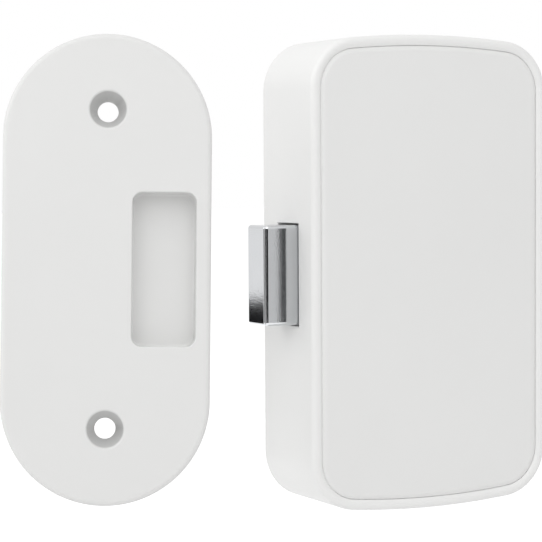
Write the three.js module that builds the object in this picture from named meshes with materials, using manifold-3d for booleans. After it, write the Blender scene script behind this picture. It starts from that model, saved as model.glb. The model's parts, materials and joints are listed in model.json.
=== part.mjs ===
import * as THREE from "three";
import { mergeVertices } from "three/addons/utils/BufferGeometryUtils.js";
import Module from "manifold-3d";

// A smart lock for cabinets and drawers, with the strike plate that takes its latch.
// Millimetres. X runs across the lock, Y towards its back, Z up. The origin is the middle
// of the case's flat back face, which is screwed to the door.

// Fits
const SEAT_GAP = 0.2; // a fixed piece to what carries it
const SLIDE_GAP = 0.25; // a sliding piece to its guide, on each side
const TURN_GAP = 0.25; // a shaft to its bearing, on the radius
const PRESS_GAP = 0.1; // a wheel, pin or magnet to what it is pressed on or into
const FRONT_ROOM = 0.7; // the foremost inner piece to the cover
const END_ROOM = 7.0; // the longer inner stack to the case's end wall

// Case and cover
const WALL = 2.0;
const BACK_WALL = 2.0;
const CORNER_RADIUS = 10;
const ARCH_RISE = 2.0; // how far the top and bottom edges bow out
const EDGE_ROUND = 1.0; // the case's front edge
const COVER_THICKNESS = 2.0;
const COVER_GAP = 0.3;
const COVER_EDGE_ROUND = 0.4;
const SKIRT_DEPTH = 2.0;
const SKIRT_WALL = 1.2;
const TONGUE_WIDTH = 7;
const TONGUE_LENGTH = 3.5; // past the skirt
const TONGUE_SPACING = 47;
const MOUNT_HOLE_RADIUS = 1.9;
const MOUNT_SINK_RADIUS = 3.4;
const MOUNT_SINK_DEPTH = 1.5;
const MOUNT_HOLE_EDGE = 4.0; // hole to the case's end wall

// Latch
const LATCH_HEIGHT = 19.6;
const LATCH_THICKNESS = 8.4;
const LATCH_REACH = 7.0; // out of the case
const LATCH_INSIDE = 9.0; // from the wall's inner face to the head's rear
const LATCH_TRAVEL = 6.5;
const LATCH_EDGE = 0.5;
const STEM_RADIUS = 2.0;
const CLIP_RADIUS = 3.3;
const CLIP_THICKNESS = 0.8;
const CLIP_GROOVE = 0.5;
const STEM_TAIL = 1.0; // stem past its clip
const SPRING_LENGTH = 9.0; // as fitted
const SPRING_RADIUS = 3.0;
const SPRING_WIRE = 0.5;
const SPRING_TURNS = 4.5;
const GUIDE_WALL = 1.4;
const GUIDE_LENGTH = 6.0;

// Drive
const GEAR_MODULE = 0.6;
const PINION_TEETH = 12;
const PRESSURE_ANGLE = THREE.MathUtils.degToRad(20);
const BACKLASH = 0.16;
const PINION_X = 9.0;
const RACK_WIDTH = 5.0;
const RACK_BODY = 4.2;
const RACK_OFFSET = 1.0; // rack past the yoke's edge
const PINION_ADDENDUM = 0.9; // tooth past its pitch line, in modules
const RACK_ADDENDUM = 0.65;
const TOOTH_BOTTOM = 0.2; // tooth tip to the root it turns past
const RACK_END_TEETH = 2; // teeth past the pinion at each end of the travel
const CARRIAGE_BASE = 1.6;
const CARRIAGE_FLANGE = 1.4; // base past the rack, under the rail's lip
const YOKE_THICKNESS = 3.0;
const YOKE_HALF_HEIGHT = 5.0;
const YOKE_TOP = 1.6; // yoke past the clip, towards the cover
const RAIL_WALL = 1.2;
const RAIL_LIP = 0.9;
const MAGNET_RADIUS = 1.5;
const MAGNET_LENGTH = 2.0;
const MAGNET_WALL = 0.95; // post round the magnet
const MOTOR_WIDTH = 12;
const MOTOR_DEPTH = 10;
const MOTOR_LENGTH = 15;
const GEARBOX_LENGTH = 9;
const GEARBOX_PLATE = 1.2;
const GEARBOX_SIDE_CUT = 2.2;
const END_CAP_LENGTH = 1.6;
const END_CAP_INSET = 0.5;
const TERMINAL_LENGTH = 1.5;
const TERMINAL_WIDTH = 1.4;
const TERMINAL_SHEET = 0.3;
const TERMINAL_SPACING = 6;
const SHAFT_RADIUS = 1.5;
const SHAFT_SOCKET = 3.0; // shaft inside the gearbox
const PINION_CLEARANCE = 1.0; // pinion to gearbox
const CLAMP_THICKNESS = 0.7;
const CLAMP_WIDTH = 6.0;
const CLAMP_FOOT = 4.6;
const MOTOR_BED_LENGTH = 10;

// Screws
const SCREW_RADIUS = 0.9;
const SCREW_HOLE_GAP = 0.25;
const SCREW_HEAD_RADIUS = 1.8;
const SCREW_HEAD_HEIGHT = 1.2;
const SCREW_RIM_HEIGHT = 0.65; // straight part of the head
const SCREW_CROWN_RADIUS = 1.1; // flat top of the head
const SCREW_CROSS_WIDTH = 0.4;
const SCREW_CROSS_DEPTH = 0.6;
const SCREW_LENGTH = 3.4;
const BOSS_RADIUS = 2.2;
const EAR_HEIGHT = 1.6; // a screwed ear above the back wall
const EAR_THICKNESS = 1.2;
const EAR_RADIUS = 2.2;

// Circuit board
const BOARD_WIDTH = 20.6;
const BOARD_HEIGHT = 25;
const BOARD_THICKNESS = 1.6;
const BOARD_STANDOFF = 4.6;
const BOARD_EDGE_GAP = 0.6; // board to the case's side wall
const BOARD_LATCH_GAP = 1.0; // board to the latch guide
const BOARD_HOLE_EDGE = 2.4;
const RADIO_WIDTH = 11;
const RADIO_HEIGHT = 8.5;
const RADIO_THICKNESS = 2.2;
const RADIO_PLATE = 0.7;
const RADIO_AERIAL = 2.2; // bare end of the plate, beside the can
const BUZZER_RADIUS = 4.0;
const BUZZER_HEIGHT = 3.4;
const BUZZER_PORT_RADIUS = 0.9;
const SWITCH_SIZE = 4.4;
const SWITCH_HEIGHT = 1.7;
const BUTTON_RADIUS = 1.1;
const BUTTON_HEIGHT = 1.8;
const BUTTON_SOCKET = 0.9; // button inside its switch
const BUTTON_TRAVEL = 0.25;
const SOCKET_WIDTH = 5.4;
const SOCKET_HEIGHT = 4.0;
const SOCKET_DEPTH = 3.6;
const SOCKET_WALL = 0.7;
const SENSOR_WIDTH = 3.0;
const SENSOR_HEIGHT = 2.6;
const SENSOR_THICKNESS = 1.1;

// Wire leads
const LEAD_RADIUS = 0.5;
const LEAD_STEP = 2.5; // length between a lead's sections
const LEAD_SIDES = 8;

// Cells and their tray
const CELL_LENGTH = 44.5;
const CELL_DIAMETER = 10.5;
const CELL_BUTTON_RADIUS = 1.9;
const CELL_BUTTON_LENGTH = 0.9;
const CELL_ROUND = 0.5;
const CELL_PLAY = 0.5; // a cell to the tray wall and to its neighbour
const TRAY_WALL = 0.9;
const TRAY_FLOOR = 1.2;
const TRAY_GAP = 0.4; // tray to the case and to the latch guide
const TRAY_RISE = 1.0; // tray walls past the cells' middle
const TRAY_EAR_SPACING = 22;
const TRAY_RIB_HEIGHT = 1.75;
const TRAY_RIB_LENGTH = 23;
const CONTACT_SHEET = 0.3;
const CONTACT_SIZE = 7.5;
const CONTACT_GAP = 0.1;
const COIL_LENGTH = 1.9;
const COIL_WIRE = 0.5;
const COIL_BASE_RADIUS = 3.2;
const COIL_TIP_RADIUS = 1.5;
const COIL_TURNS = 2;

// Strike plate
const STRIKE_LENGTH = 88.7;
const STRIKE_WIDTH = 39.2;
const STRIKE_THICKNESS = 6.0;
const STRIKE_EDGE_ROUND = 1.0;
const STRIKE_HOLE_SPACING = 60;
const STRIKE_HOLE_RADIUS = 2.0;
const STRIKE_SINK_RADIUS = 3.55;
const STRIKE_SINK_DEPTH = 4.2;
const STRIKE_POCKET_WIDTH = 12;
const STRIKE_POCKET_HEIGHT = 29;
const STRIKE_POCKET_DEPTH = 5.0;
const STRIKE_POCKET_RADIUS = 1.9;
const STRIKE_POCKET_OFFSET = 10.75; // towards the lock
const STRIKE_DISTANCE = 38.1; // strike's middle to the case's side
const STRIKE_SETBACK = 9.7; // strike's middle in front of the case's back face
const STRIKE_RISE = 2.0; // strike's middle above the case's middle
const STRIKE_TURN = THREE.MathUtils.degToRad(-22);
const STRIKE_LEAN = THREE.MathUtils.degToRad(-5);
const STRIKE_TILT = THREE.MathUtils.degToRad(1.2);

// Facets
const ARC_STEPS = 5; // pairs of chords in each arc of a large outline
const ROUND_SIDES = 16;
const SMALL_SIDES = 10;
const EDGE_STEPS = 3;
const COIL_STEPS = 8; // each turn of a spring
const WIRE_SIDES = 5;
const OVERCUT = 1.0; // how far a cutter runs past the face that it opens

// Places worked out from the sizes above
const pitchRadius = (GEAR_MODULE * PINION_TEETH) / 2;
const pinionAddendum = PINION_ADDENDUM * GEAR_MODULE;
const rackAddendum = RACK_ADDENDUM * GEAR_MODULE;
const endContacts = CONTACT_SHEET * 2 + CONTACT_GAP * 4 + COIL_LENGTH;
const innerWidth = CELL_LENGTH + endContacts + (TRAY_WALL + TRAY_GAP) * 2;
const halfInner = innerWidth / 2;
const halfWidth = halfInner + WALL;
const backFace = -BACK_WALL; // inner face of the back wall
const carriageBack = backFace - SLIDE_GAP;
const carriageFront = carriageBack - CARRIAGE_BASE;
const rackRoot = carriageFront - RACK_BODY;
const rackPitch = rackRoot - pinionAddendum - TOOTH_BOTTOM;
const motorY = rackPitch - pitchRadius;
const motorBack = motorY + MOTOR_DEPTH / 2;
const motorFront = motorY - MOTOR_DEPTH / 2;
const clampFront = motorFront - SEAT_GAP - CLAMP_THICKNESS;
const trayFloor = backFace - SEAT_GAP - TRAY_FLOOR;
const cellY = trayFloor - CELL_PLAY - CELL_DIAMETER / 2;
const frontmost = Math.min(clampFront, motorY - pitchRadius - pinionAddendum, cellY - CELL_DIAMETER / 2);
const coverBack = frontmost - FRONT_ROOM;
const coverFront = coverBack - COVER_THICKNESS;
const latchY = coverFront / 2;
const guideHalf = LATCH_HEIGHT / 2 + SLIDE_GAP + GUIDE_WALL;
const rackBottom = YOKE_HALF_HEIGHT + RACK_OFFSET;
const rackTop = rackBottom + RACK_WIDTH;
const gearboxBottom = rackTop + PINION_CLEARANCE;
const motorBottom = gearboxBottom + GEARBOX_LENGTH + SEAT_GAP;
const motorTop = motorBottom + MOTOR_LENGTH;
const trayTop = -guideHalf - TRAY_GAP;
const trayBottom = trayTop - TRAY_WALL * 2 - CELL_DIAMETER * 2 - CELL_PLAY * 3;
const upperStack = motorTop + SEAT_GAP + END_CAP_LENGTH;
const halfInnerHeight = Math.max(upperStack, -trayBottom) + END_ROOM;
const halfHeight = halfInnerHeight + WALL;
const headFront = -halfWidth - LATCH_REACH;
const headRear = -halfInner + LATCH_INSIDE;
const yokeFront = headRear + SPRING_LENGTH;
const yokeRear = yokeFront + YOKE_THICKNESS;
const toothPitch = Math.PI * GEAR_MODULE;
const teethBehind = Math.ceil(LATCH_TRAVEL / toothPitch) + RACK_END_TEETH;
const carriageRear = PINION_X + (RACK_END_TEETH + 0.5) * toothPitch;
const carriageLow = -YOKE_HALF_HEIGHT - CARRIAGE_FLANGE;
const carriageHigh = rackTop + CARRIAGE_FLANGE;
const boardLeft = -halfInner + BOARD_EDGE_GAP;
const boardBottom = guideHalf + BOARD_LATCH_GAP;
const boardBack = backFace - BOARD_STANDOFF;
const boardFront = boardBack - BOARD_THICKNESS;
const boardRight = boardLeft + BOARD_WIDTH;
const boardTop = boardBottom + BOARD_HEIGHT;
const earBack = backFace - EAR_HEIGHT;
const earFront = earBack - EAR_THICKNESS;
const screwHole = SCREW_RADIUS + SCREW_HOLE_GAP;
const earDrop = EAR_RADIUS + SEAT_GAP; // an ear's screw to the piece that carries the ear
const mountZ = halfInnerHeight - MOUNT_HOLE_EDGE;

const wasm = await Module();
wasm.setup();

// Turns a closed three.js geometry into a solid that can be joined and cut.
function solid(geometry) {
  const bare = geometry.clone();
  bare.deleteAttribute("normal");
  bare.deleteAttribute("uv");
  const merged = mergeVertices(bare, 1e-4);
  const mesh = new wasm.Mesh({
    numProp: 3,
    vertProperties: new Float32Array(merged.attributes.position.array),
    triVerts: new Uint32Array(merged.index.array),
  });
  return new wasm.Manifold(mesh);
}

function geometryOf(body) {
  const mesh = body.getMesh();
  const geometry = new THREE.BufferGeometry();
  geometry.setAttribute("position", new THREE.BufferAttribute(new Float32Array(mesh.vertProperties), 3));
  geometry.setIndex(new THREE.BufferAttribute(new Uint32Array(mesh.triVerts), 1));
  const flat = geometry.toNonIndexed();
  flat.computeVertexNormals();
  return flat;
}

const joined = (bodies) => bodies.reduce((whole, body) => whole.add(body));
const cutBy = (body, cutters) => cutters.reduce((whole, cutter) => whole.subtract(cutter), body);

// A block between two opposite corners.
function block(x0, x1, y0, y1, z0, z1) {
  const geometry = new THREE.BoxGeometry(Math.abs(x1 - x0), Math.abs(y1 - y0), Math.abs(z1 - z0));
  geometry.translate((x0 + x1) / 2, (y0 + y1) / 2, (z0 + z1) / 2);
  return solid(geometry);
}

// Round bars and cones along each axis, from one end to the other.
function roundY(x, z, yBack, yFront, radiusBack, radiusFront = radiusBack, sides = ROUND_SIDES) {
  const geometry = new THREE.CylinderGeometry(radiusBack, radiusFront, yBack - yFront, sides);
  geometry.translate(x, (yBack + yFront) / 2, z);
  return solid(geometry);
}

function roundX(y, z, x0, x1, radius, sides = ROUND_SIDES) {
  const geometry = new THREE.CylinderGeometry(radius, radius, x1 - x0, sides);
  geometry.rotateZ(-Math.PI / 2);
  geometry.translate((x0 + x1) / 2, y, z);
  return solid(geometry);
}

function roundZ(x, y, z0, z1, radius, sides = ROUND_SIDES) {
  const geometry = new THREE.CylinderGeometry(radius, radius, z1 - z0, sides);
  geometry.rotateX(Math.PI / 2);
  geometry.translate(x, y, (z0 + z1) / 2);
  return solid(geometry);
}

// A flat outline, drawn in X and Z, carried from yBack forward to yFront.
function slab(shape, yBack, yFront) {
  const geometry = new THREE.ExtrudeGeometry(shape, {
    depth: yBack - yFront,
    bevelEnabled: false,
    curveSegments: ARC_STEPS,
  });
  geometry.rotateX(Math.PI / 2);
  geometry.translate(0, yBack, 0);
  return solid(geometry);
}

// The same with its front edge rounded.
function roundedSlab(shape, yBack, yFront, round) {
  const geometry = new THREE.ExtrudeGeometry(shape, {
    depth: yBack - yFront - round,
    bevelEnabled: true,
    bevelThickness: round,
    bevelSize: round,
    bevelOffset: -round,
    bevelSegments: EDGE_STEPS,
    curveSegments: ARC_STEPS,
  });
  geometry.rotateX(Math.PI / 2);
  geometry.translate(0, yBack, 0);
  const whole = solid(geometry);
  const reach = halfHeight + STRIKE_LENGTH;
  return whole.subtract(block(-reach, reach, yBack, yBack + round * 2, -reach, reach));
}

// An outline drawn in X and Y, carried up from z0 to z1.
function column(shape, z0, z1) {
  const geometry = new THREE.ExtrudeGeometry(shape, {
    depth: z1 - z0,
    bevelEnabled: false,
    curveSegments: ARC_STEPS,
  });
  geometry.translate(0, 0, z0);
  return solid(geometry);
}

// The case's outline seen from the front: straight sides, arched ends and round corners.
function caseOutline(inset) {
  const archRadius = (halfWidth ** 2 + ARCH_RISE ** 2) / (2 * ARCH_RISE);
  const archZ = halfHeight - archRadius;
  const cornerX = halfWidth - CORNER_RADIUS;
  const cornerZ = archZ + Math.sqrt((archRadius - CORNER_RADIUS) ** 2 - cornerX ** 2);
  const meet = Math.atan2(cornerZ - archZ, cornerX);
  const corner = CORNER_RADIUS - inset;
  const arch = archRadius - inset;
  const shape = new THREE.Shape();
  shape.absarc(cornerX, cornerZ, corner, 0, meet);
  shape.absarc(0, archZ, arch, meet, Math.PI - meet);
  shape.absarc(-cornerX, cornerZ, corner, Math.PI - meet, Math.PI);
  shape.absarc(-cornerX, -cornerZ, corner, Math.PI, Math.PI + meet);
  shape.absarc(0, -archZ, arch, Math.PI + meet, Math.PI * 2 - meet);
  shape.absarc(cornerX, -cornerZ, corner, Math.PI * 2 - meet, Math.PI * 2);
  return shape;
}

function roundedRectangle(x0, x1, z0, z1, radius) {
  const shape = new THREE.Shape();
  shape.absarc(x1 - radius, z1 - radius, radius, 0, Math.PI / 2);
  shape.absarc(x0 + radius, z1 - radius, radius, Math.PI / 2, Math.PI);
  shape.absarc(x0 + radius, z0 + radius, radius, Math.PI, Math.PI * 1.5);
  shape.absarc(x1 - radius, z0 + radius, radius, Math.PI * 1.5, Math.PI * 2);
  return shape;
}

// A wire along a list of points, joined ring by ring and closed at both ends. The rings
// stand across the wire, with one vertex pointing away from the coil's axis, which is X.
function wireAlong(points, outward, wire) {
  const positions = [];
  const indices = [];
  points.forEach((point, i) => {
    const before = points[Math.max(i - 1, 0)];
    const after = points[Math.min(i + 1, points.length - 1)];
    const along = after.clone().sub(before).normalize();
    const side = new THREE.Vector3().crossVectors(along, outward[i]).normalize();
    const away = new THREE.Vector3().crossVectors(side, along);
    for (let s = 0; s < WIRE_SIDES; s += 1) {
      const turn = (s / WIRE_SIDES) * Math.PI * 2;
      const vertex = point.clone();
      vertex.addScaledVector(away, (Math.cos(turn) * wire) / 2);
      vertex.addScaledVector(side, (Math.sin(turn) * wire) / 2);
      positions.push(vertex.x, vertex.y, vertex.z);
    }
  });
  const last = (points.length - 1) * WIRE_SIDES;
  for (let i = 0; i < last; i += WIRE_SIDES) {
    for (let s = 0; s < WIRE_SIDES; s += 1) {
      const a = i + s;
      const b = i + ((s + 1) % WIRE_SIDES);
      indices.push(a, a + WIRE_SIDES, b, b, a + WIRE_SIDES, b + WIRE_SIDES);
    }
  }
  for (let s = 1; s < WIRE_SIDES - 1; s += 1) {
    indices.push(0, s, s + 1);
    indices.push(last, last + s + 1, last + s);
  }
  const geometry = new THREE.BufferGeometry();
  geometry.setAttribute("position", new THREE.BufferAttribute(new Float32Array(positions), 3));
  geometry.setIndex(indices);
  const body = solid(geometry);
  return body.volume() > 0 ? body : solid(flipped(geometry));
}

function flipped(geometry) {
  const turned = geometry.clone();
  const index = turned.index.array;
  for (let i = 0; i < index.length; i += 3) {
    const first = index[i];
    index[i] = index[i + 1];
    index[i + 1] = first;
  }
  return turned;
}

// A coil spring along X. Its radius may change along its length, and its wire's outside
// fills the length from x0 to x1. The least gap between its turns is printed.
function coilSpring(label, x0, x1, y, z, radius0, radius1, wire, turns) {
  const steps = Math.round(turns * COIL_STEPS);
  const points = [];
  const outward = [];
  const start = x0 + (Math.sign(x1 - x0) * wire) / 2;
  const end = x1 - (Math.sign(x1 - x0) * wire) / 2;
  for (let i = 0; i <= steps; i += 1) {
    const share = i / steps;
    const turn = share * turns * Math.PI * 2;
    const radius = THREE.MathUtils.lerp(radius0, radius1, share);
    const away = new THREE.Vector3(0, Math.cos(turn), Math.sin(turn));
    outward.push(away);
    const middle = new THREE.Vector3(THREE.MathUtils.lerp(start, end, share), y, z);
    points.push(middle.addScaledVector(away, radius));
  }
  let least = Infinity;
  points.forEach((a, i) => {
    points.slice(i + COIL_STEPS / 2).forEach((b) => {
      least = Math.min(least, a.distanceTo(b) - wire);
    });
  });
  console.log(`${label}: least gap between turns ${least.toFixed(2)} mm`);
  return wireAlong(points, outward, wire);
}

// A cross-recessed screw with its head against a seat that faces the front.
function screw(x, z, seat, length) {
  const profile = [
    new THREE.Vector2(0, -length),
    new THREE.Vector2(SCREW_RADIUS, -length),
    new THREE.Vector2(SCREW_RADIUS, 0),
    new THREE.Vector2(SCREW_HEAD_RADIUS, 0),
    new THREE.Vector2(SCREW_HEAD_RADIUS, SCREW_RIM_HEIGHT),
    new THREE.Vector2(SCREW_CROWN_RADIUS, SCREW_HEAD_HEIGHT),
    new THREE.Vector2(0, SCREW_HEAD_HEIGHT),
  ];
  const lathe = new THREE.LatheGeometry(profile, SMALL_SIDES);
  lathe.rotateX(Math.PI);
  const headBack = seat - SEAT_GAP;
  lathe.translate(x, headBack, z);
  const top = headBack - SCREW_HEAD_HEIGHT;
  const arm = SCREW_CROWN_RADIUS;
  const slot = SCREW_CROSS_WIDTH / 2;
  const floor = top + SCREW_CROSS_DEPTH;
  const cross = [
    block(x - arm, x + arm, top - OVERCUT, floor, z - slot, z + slot),
    block(x - slot, x + slot, top - OVERCUT, floor, z - arm, z + arm),
  ];
  return cutBy(solid(lathe), cross);
}

// A round-ended ear that a screw holds down. It grows from a piece's edge at baseZ.
function ear(x, z, baseZ) {
  const back = earBack - SEAT_GAP;
  const plate = block(x - EAR_RADIUS, x + EAR_RADIUS, earFront, back, z, baseZ);
  return plate.add(roundY(x, z, back, earFront, EAR_RADIUS));
}

function screwClearance(x, z, yBack, yFront) {
  return roundY(x, z, yBack, yFront, screwHole, screwHole, SMALL_SIDES);
}

// Where screws go, each as the X and Z of its middle.
const guideEar = { x: -halfInner + SEAT_GAP + GUIDE_LENGTH / 2, z: guideHalf + earDrop };
const trayEars = [-1, 1].map((side) => ({ x: (side * TRAY_EAR_SPACING) / 2, z: trayBottom - earDrop }));
const boardScrews = [
  { name: "board_screw_upper_left", x: boardLeft + BOARD_HOLE_EDGE, z: boardTop - BOARD_HOLE_EDGE },
  { name: "board_screw_upper_right", x: boardRight - BOARD_HOLE_EDGE, z: boardTop - BOARD_HOLE_EDGE },
  { name: "board_screw_lower_right", x: boardRight - BOARD_HOLE_EDGE, z: boardBottom + BOARD_HOLE_EDGE },
];
const clampReach = MOTOR_WIDTH / 2 + SEAT_GAP + CLAMP_THICKNESS;
const bedHalf = clampReach + CLAMP_FOOT;
const bedMiddle = gearboxBottom + GEARBOX_LENGTH;
const bedFront = motorBack + SEAT_GAP;
const clampScrews = [-1, 1].map((side) => ({
  name: side < 0 ? "clamp_screw_left" : "clamp_screw_right",
  x: PINION_X + side * (clampReach + CLAMP_FOOT / 2),
  z: bedMiddle,
}));

// The moulded back case, with the rails, bosses and mounting holes inside it.
function caseBody() {
  const shell = roundedSlab(caseOutline(0), 0, coverFront, EDGE_ROUND);
  const hollow = slab(caseOutline(WALL), backFace, coverFront - OVERCUT);
  const halfWindow = LATCH_HEIGHT / 2 + SLIDE_GAP;
  const windowDepth = LATCH_THICKNESS / 2 + SLIDE_GAP;
  const latchWindow = block(
    -halfWidth - OVERCUT,
    -halfInner + OVERCUT,
    latchY - windowDepth,
    latchY + windowDepth,
    -halfWindow,
    halfWindow,
  );
  const open = cutBy(shell, [hollow, latchWindow]);
  const root = -BACK_WALL / 2; // rails and bosses start inside the wall
  const railStart = yokeFront - SLIDE_GAP;
  const railEnd = carriageRear + LATCH_TRAVEL;
  const lipBack = carriageFront - SLIDE_GAP;
  const lipFront = lipBack - RAIL_WALL;
  const rails = [];
  [carriageLow, carriageHigh].forEach((edge) => {
    const side = Math.sign(edge);
    const face = edge + side * SLIDE_GAP;
    const outer = face + side * RAIL_WALL;
    rails.push(block(railStart, railEnd, lipFront, root, face, outer));
    rails.push(block(railStart, railEnd, lipFront, lipBack, edge - side * RAIL_LIP, outer));
  });
  const bosses = [
    roundY(guideEar.x, guideEar.z, root, earBack, BOSS_RADIUS),
    ...trayEars.map((place) => roundY(place.x, place.z, root, earBack, BOSS_RADIUS)),
    ...boardScrews.map((place) => roundY(place.x, place.z, root, boardBack + SEAT_GAP, BOSS_RADIUS)),
    ...clampScrews.map((place) => roundY(place.x, place.z, root, bedFront + EAR_HEIGHT, BOSS_RADIUS)),
  ];
  const pilots = [
    screwClearance(guideEar.x, guideEar.z, root, earBack - OVERCUT),
    ...trayEars.map((place) => screwClearance(place.x, place.z, root, earBack - OVERCUT)),
    ...boardScrews.map((place) => screwClearance(place.x, place.z, root, boardBack)),
    ...clampScrews.map((place) => screwClearance(place.x, place.z, root, bedFront)),
  ];
  const mountHoles = [];
  [-mountZ, mountZ].forEach((z) => {
    mountHoles.push(roundY(0, z, OVERCUT, backFace - OVERCUT, MOUNT_HOLE_RADIUS));
    const sinkBack = backFace + MOUNT_SINK_DEPTH;
    mountHoles.push(roundY(0, z, sinkBack, backFace, MOUNT_HOLE_RADIUS, MOUNT_SINK_RADIUS));
  });
  return cutBy(joined([open, ...rails, ...bosses]), [...pilots, ...mountHoles]);
}

// The clip-in cover: a panel inside the case's rim, a skirt and four tongues.
function frontCover() {
  const inset = WALL + COVER_GAP;
  const panel = roundedSlab(caseOutline(inset), coverBack + SKIRT_DEPTH, coverFront, COVER_EDGE_ROUND);
  const hollow = slab(caseOutline(inset + SKIRT_WALL), coverBack + SKIRT_DEPTH + OVERCUT, coverBack);
  const tongues = [];
  const outer = halfInner - COVER_GAP;
  [-1, 1].forEach((side) => {
    [-1, 1].forEach((end) => {
      const middle = (end * TONGUE_SPACING) / 2;
      tongues.push(block(
        side * outer,
        side * (outer - SKIRT_WALL),
        coverBack,
        coverBack + SKIRT_DEPTH + TONGUE_LENGTH,
        middle - TONGUE_WIDTH / 2,
        middle + TONGUE_WIDTH / 2,
      ));
    });
  });
  return joined([panel.subtract(hollow), ...tongues]);
}

// The sleeve inside the case's wall that the latch head slides in.
function latchGuide() {
  const x0 = -halfInner + SEAT_GAP;
  const x1 = x0 + GUIDE_LENGTH;
  const halfOpening = LATCH_THICKNESS / 2 + SLIDE_GAP;
  const front = latchY - halfOpening - GUIDE_WALL;
  const sleeve = block(x0, x1, front, backFace - SEAT_GAP, -guideHalf, guideHalf);
  const halfWindow = LATCH_HEIGHT / 2 + SLIDE_GAP;
  const way = block(
    x0 - OVERCUT,
    x1 + OVERCUT,
    latchY - halfOpening,
    latchY + halfOpening,
    -halfWindow,
    halfWindow,
  );
  const tab = ear(guideEar.x, guideEar.z, guideHalf - GUIDE_WALL / 2);
  const hole = screwClearance(guideEar.x, guideEar.z, earBack, earFront - OVERCUT);
  return cutBy(sleeve.add(tab), [way, hole]);
}

// The latch: a head with rounded edges and a round stem with a groove for its clip.
function latchBolt() {
  const half = LATCH_THICKNESS / 2;
  const section = new THREE.Shape();
  const front = latchY - half;
  const back = latchY + half;
  section.absarc(headFront + LATCH_EDGE, back - LATCH_EDGE, LATCH_EDGE, Math.PI / 2, Math.PI);
  section.absarc(headFront + LATCH_EDGE, front + LATCH_EDGE, LATCH_EDGE, Math.PI, Math.PI * 1.5);
  section.lineTo(headRear, front);
  section.lineTo(headRear, back);
  const head = column(section, -LATCH_HEIGHT / 2, LATCH_HEIGHT / 2);
  const clipStart = yokeRear + SEAT_GAP;
  const clipEnd = clipStart + CLIP_THICKNESS;
  const stem = roundX(latchY, 0, headRear - OVERCUT, clipEnd + STEM_TAIL, STEM_RADIUS);
  const ring = roundX(latchY, 0, clipStart - PRESS_GAP, clipEnd + PRESS_GAP, STEM_RADIUS + OVERCUT);
  const neck = roundX(latchY, 0, clipStart - OVERCUT, clipEnd + OVERCUT, STEM_RADIUS - CLIP_GROOVE);
  return head.add(stem).subtract(ring.subtract(neck));
}

// The clip that snaps into the stem's groove and stops the latch against the yoke.
function latchClip() {
  const x0 = yokeRear + SEAT_GAP;
  const x1 = x0 + CLIP_THICKNESS;
  const inner = STEM_RADIUS - CLIP_GROOVE + PRESS_GAP;
  const disc = roundX(latchY, 0, x0, x1, CLIP_RADIUS);
  const eye = roundX(latchY, 0, x0 - OVERCUT, x1 + OVERCUT, inner);
  const mouth = block(x0 - OVERCUT, x1 + OVERCUT, latchY, latchY - CLIP_RADIUS - OVERCUT, -inner, inner);
  return cutBy(disc, [eye, mouth]);
}

function latchSpring() {
  return coilSpring(
    "latch_spring",
    headRear + SEAT_GAP,
    yokeFront - SEAT_GAP,
    latchY,
    0,
    SPRING_RADIUS,
    SPRING_RADIUS,
    SPRING_WIRE,
    SPRING_TURNS,
  );
}

// The toothed edge that the pinion drives, drawn in X and Y. A gap faces the pinion at rest.
function rackOutline() {
  const shape = new THREE.Shape();
  const halfPitch = (toothPitch / 2 - BACKLASH) / 2;
  const slope = Math.tan(PRESSURE_ANGLE);
  const tip = rackPitch - rackAddendum;
  const halfRoot = halfPitch + (rackRoot - rackPitch) * slope;
  const halfTip = halfPitch - rackAddendum * slope;
  shape.moveTo(carriageRear, carriageFront + CARRIAGE_BASE / 2);
  shape.lineTo(carriageRear, rackRoot);
  for (let k = RACK_END_TEETH - 1; k >= -teethBehind; k -= 1) {
    const middle = PINION_X + (k + 0.5) * toothPitch;
    shape.lineTo(middle + halfRoot, rackRoot);
    shape.lineTo(middle + halfTip, tip);
    shape.lineTo(middle - halfTip, tip);
    shape.lineTo(middle - halfRoot, rackRoot);
  }
  shape.lineTo(yokeFront, rackRoot);
  shape.lineTo(yokeFront, carriageFront + CARRIAGE_BASE / 2);
  return shape;
}

const magnetX = carriageRear - MAGNET_RADIUS * 2;
const magnetZ = 0;

// The slide that the motor moves: a base on the rails, the rack and the yoke round the stem.
function carriage() {
  const base = block(yokeFront, carriageRear, carriageFront, carriageBack, carriageLow, carriageHigh);
  const yokeY = latchY - CLIP_RADIUS - YOKE_TOP;
  const yoke = block(yokeFront, yokeRear, yokeY, carriageBack, -YOKE_HALF_HEIGHT, YOKE_HALF_HEIGHT);
  const rack = column(rackOutline(), rackBottom, rackTop);
  const postRadius = MAGNET_RADIUS + PRESS_GAP + MAGNET_WALL;
  const post = roundY(magnetX, magnetZ, carriageBack, carriageFront - MAGNET_LENGTH, postRadius);
  const bore = roundX(latchY, 0, yokeFront - OVERCUT, yokeRear + OVERCUT, STEM_RADIUS + SLIDE_GAP);
  const pocket = roundY(
    magnetX,
    magnetZ,
    carriageFront,
    carriageFront - MAGNET_LENGTH - OVERCUT,
    MAGNET_RADIUS + PRESS_GAP,
  );
  return cutBy(joined([base, yoke, rack, post]), [bore, pocket]);
}

function carriageMagnet() {
  const back = carriageFront - PRESS_GAP;
  return roundY(magnetX, magnetZ, back, back - MAGNET_LENGTH, MAGNET_RADIUS);
}

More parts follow.
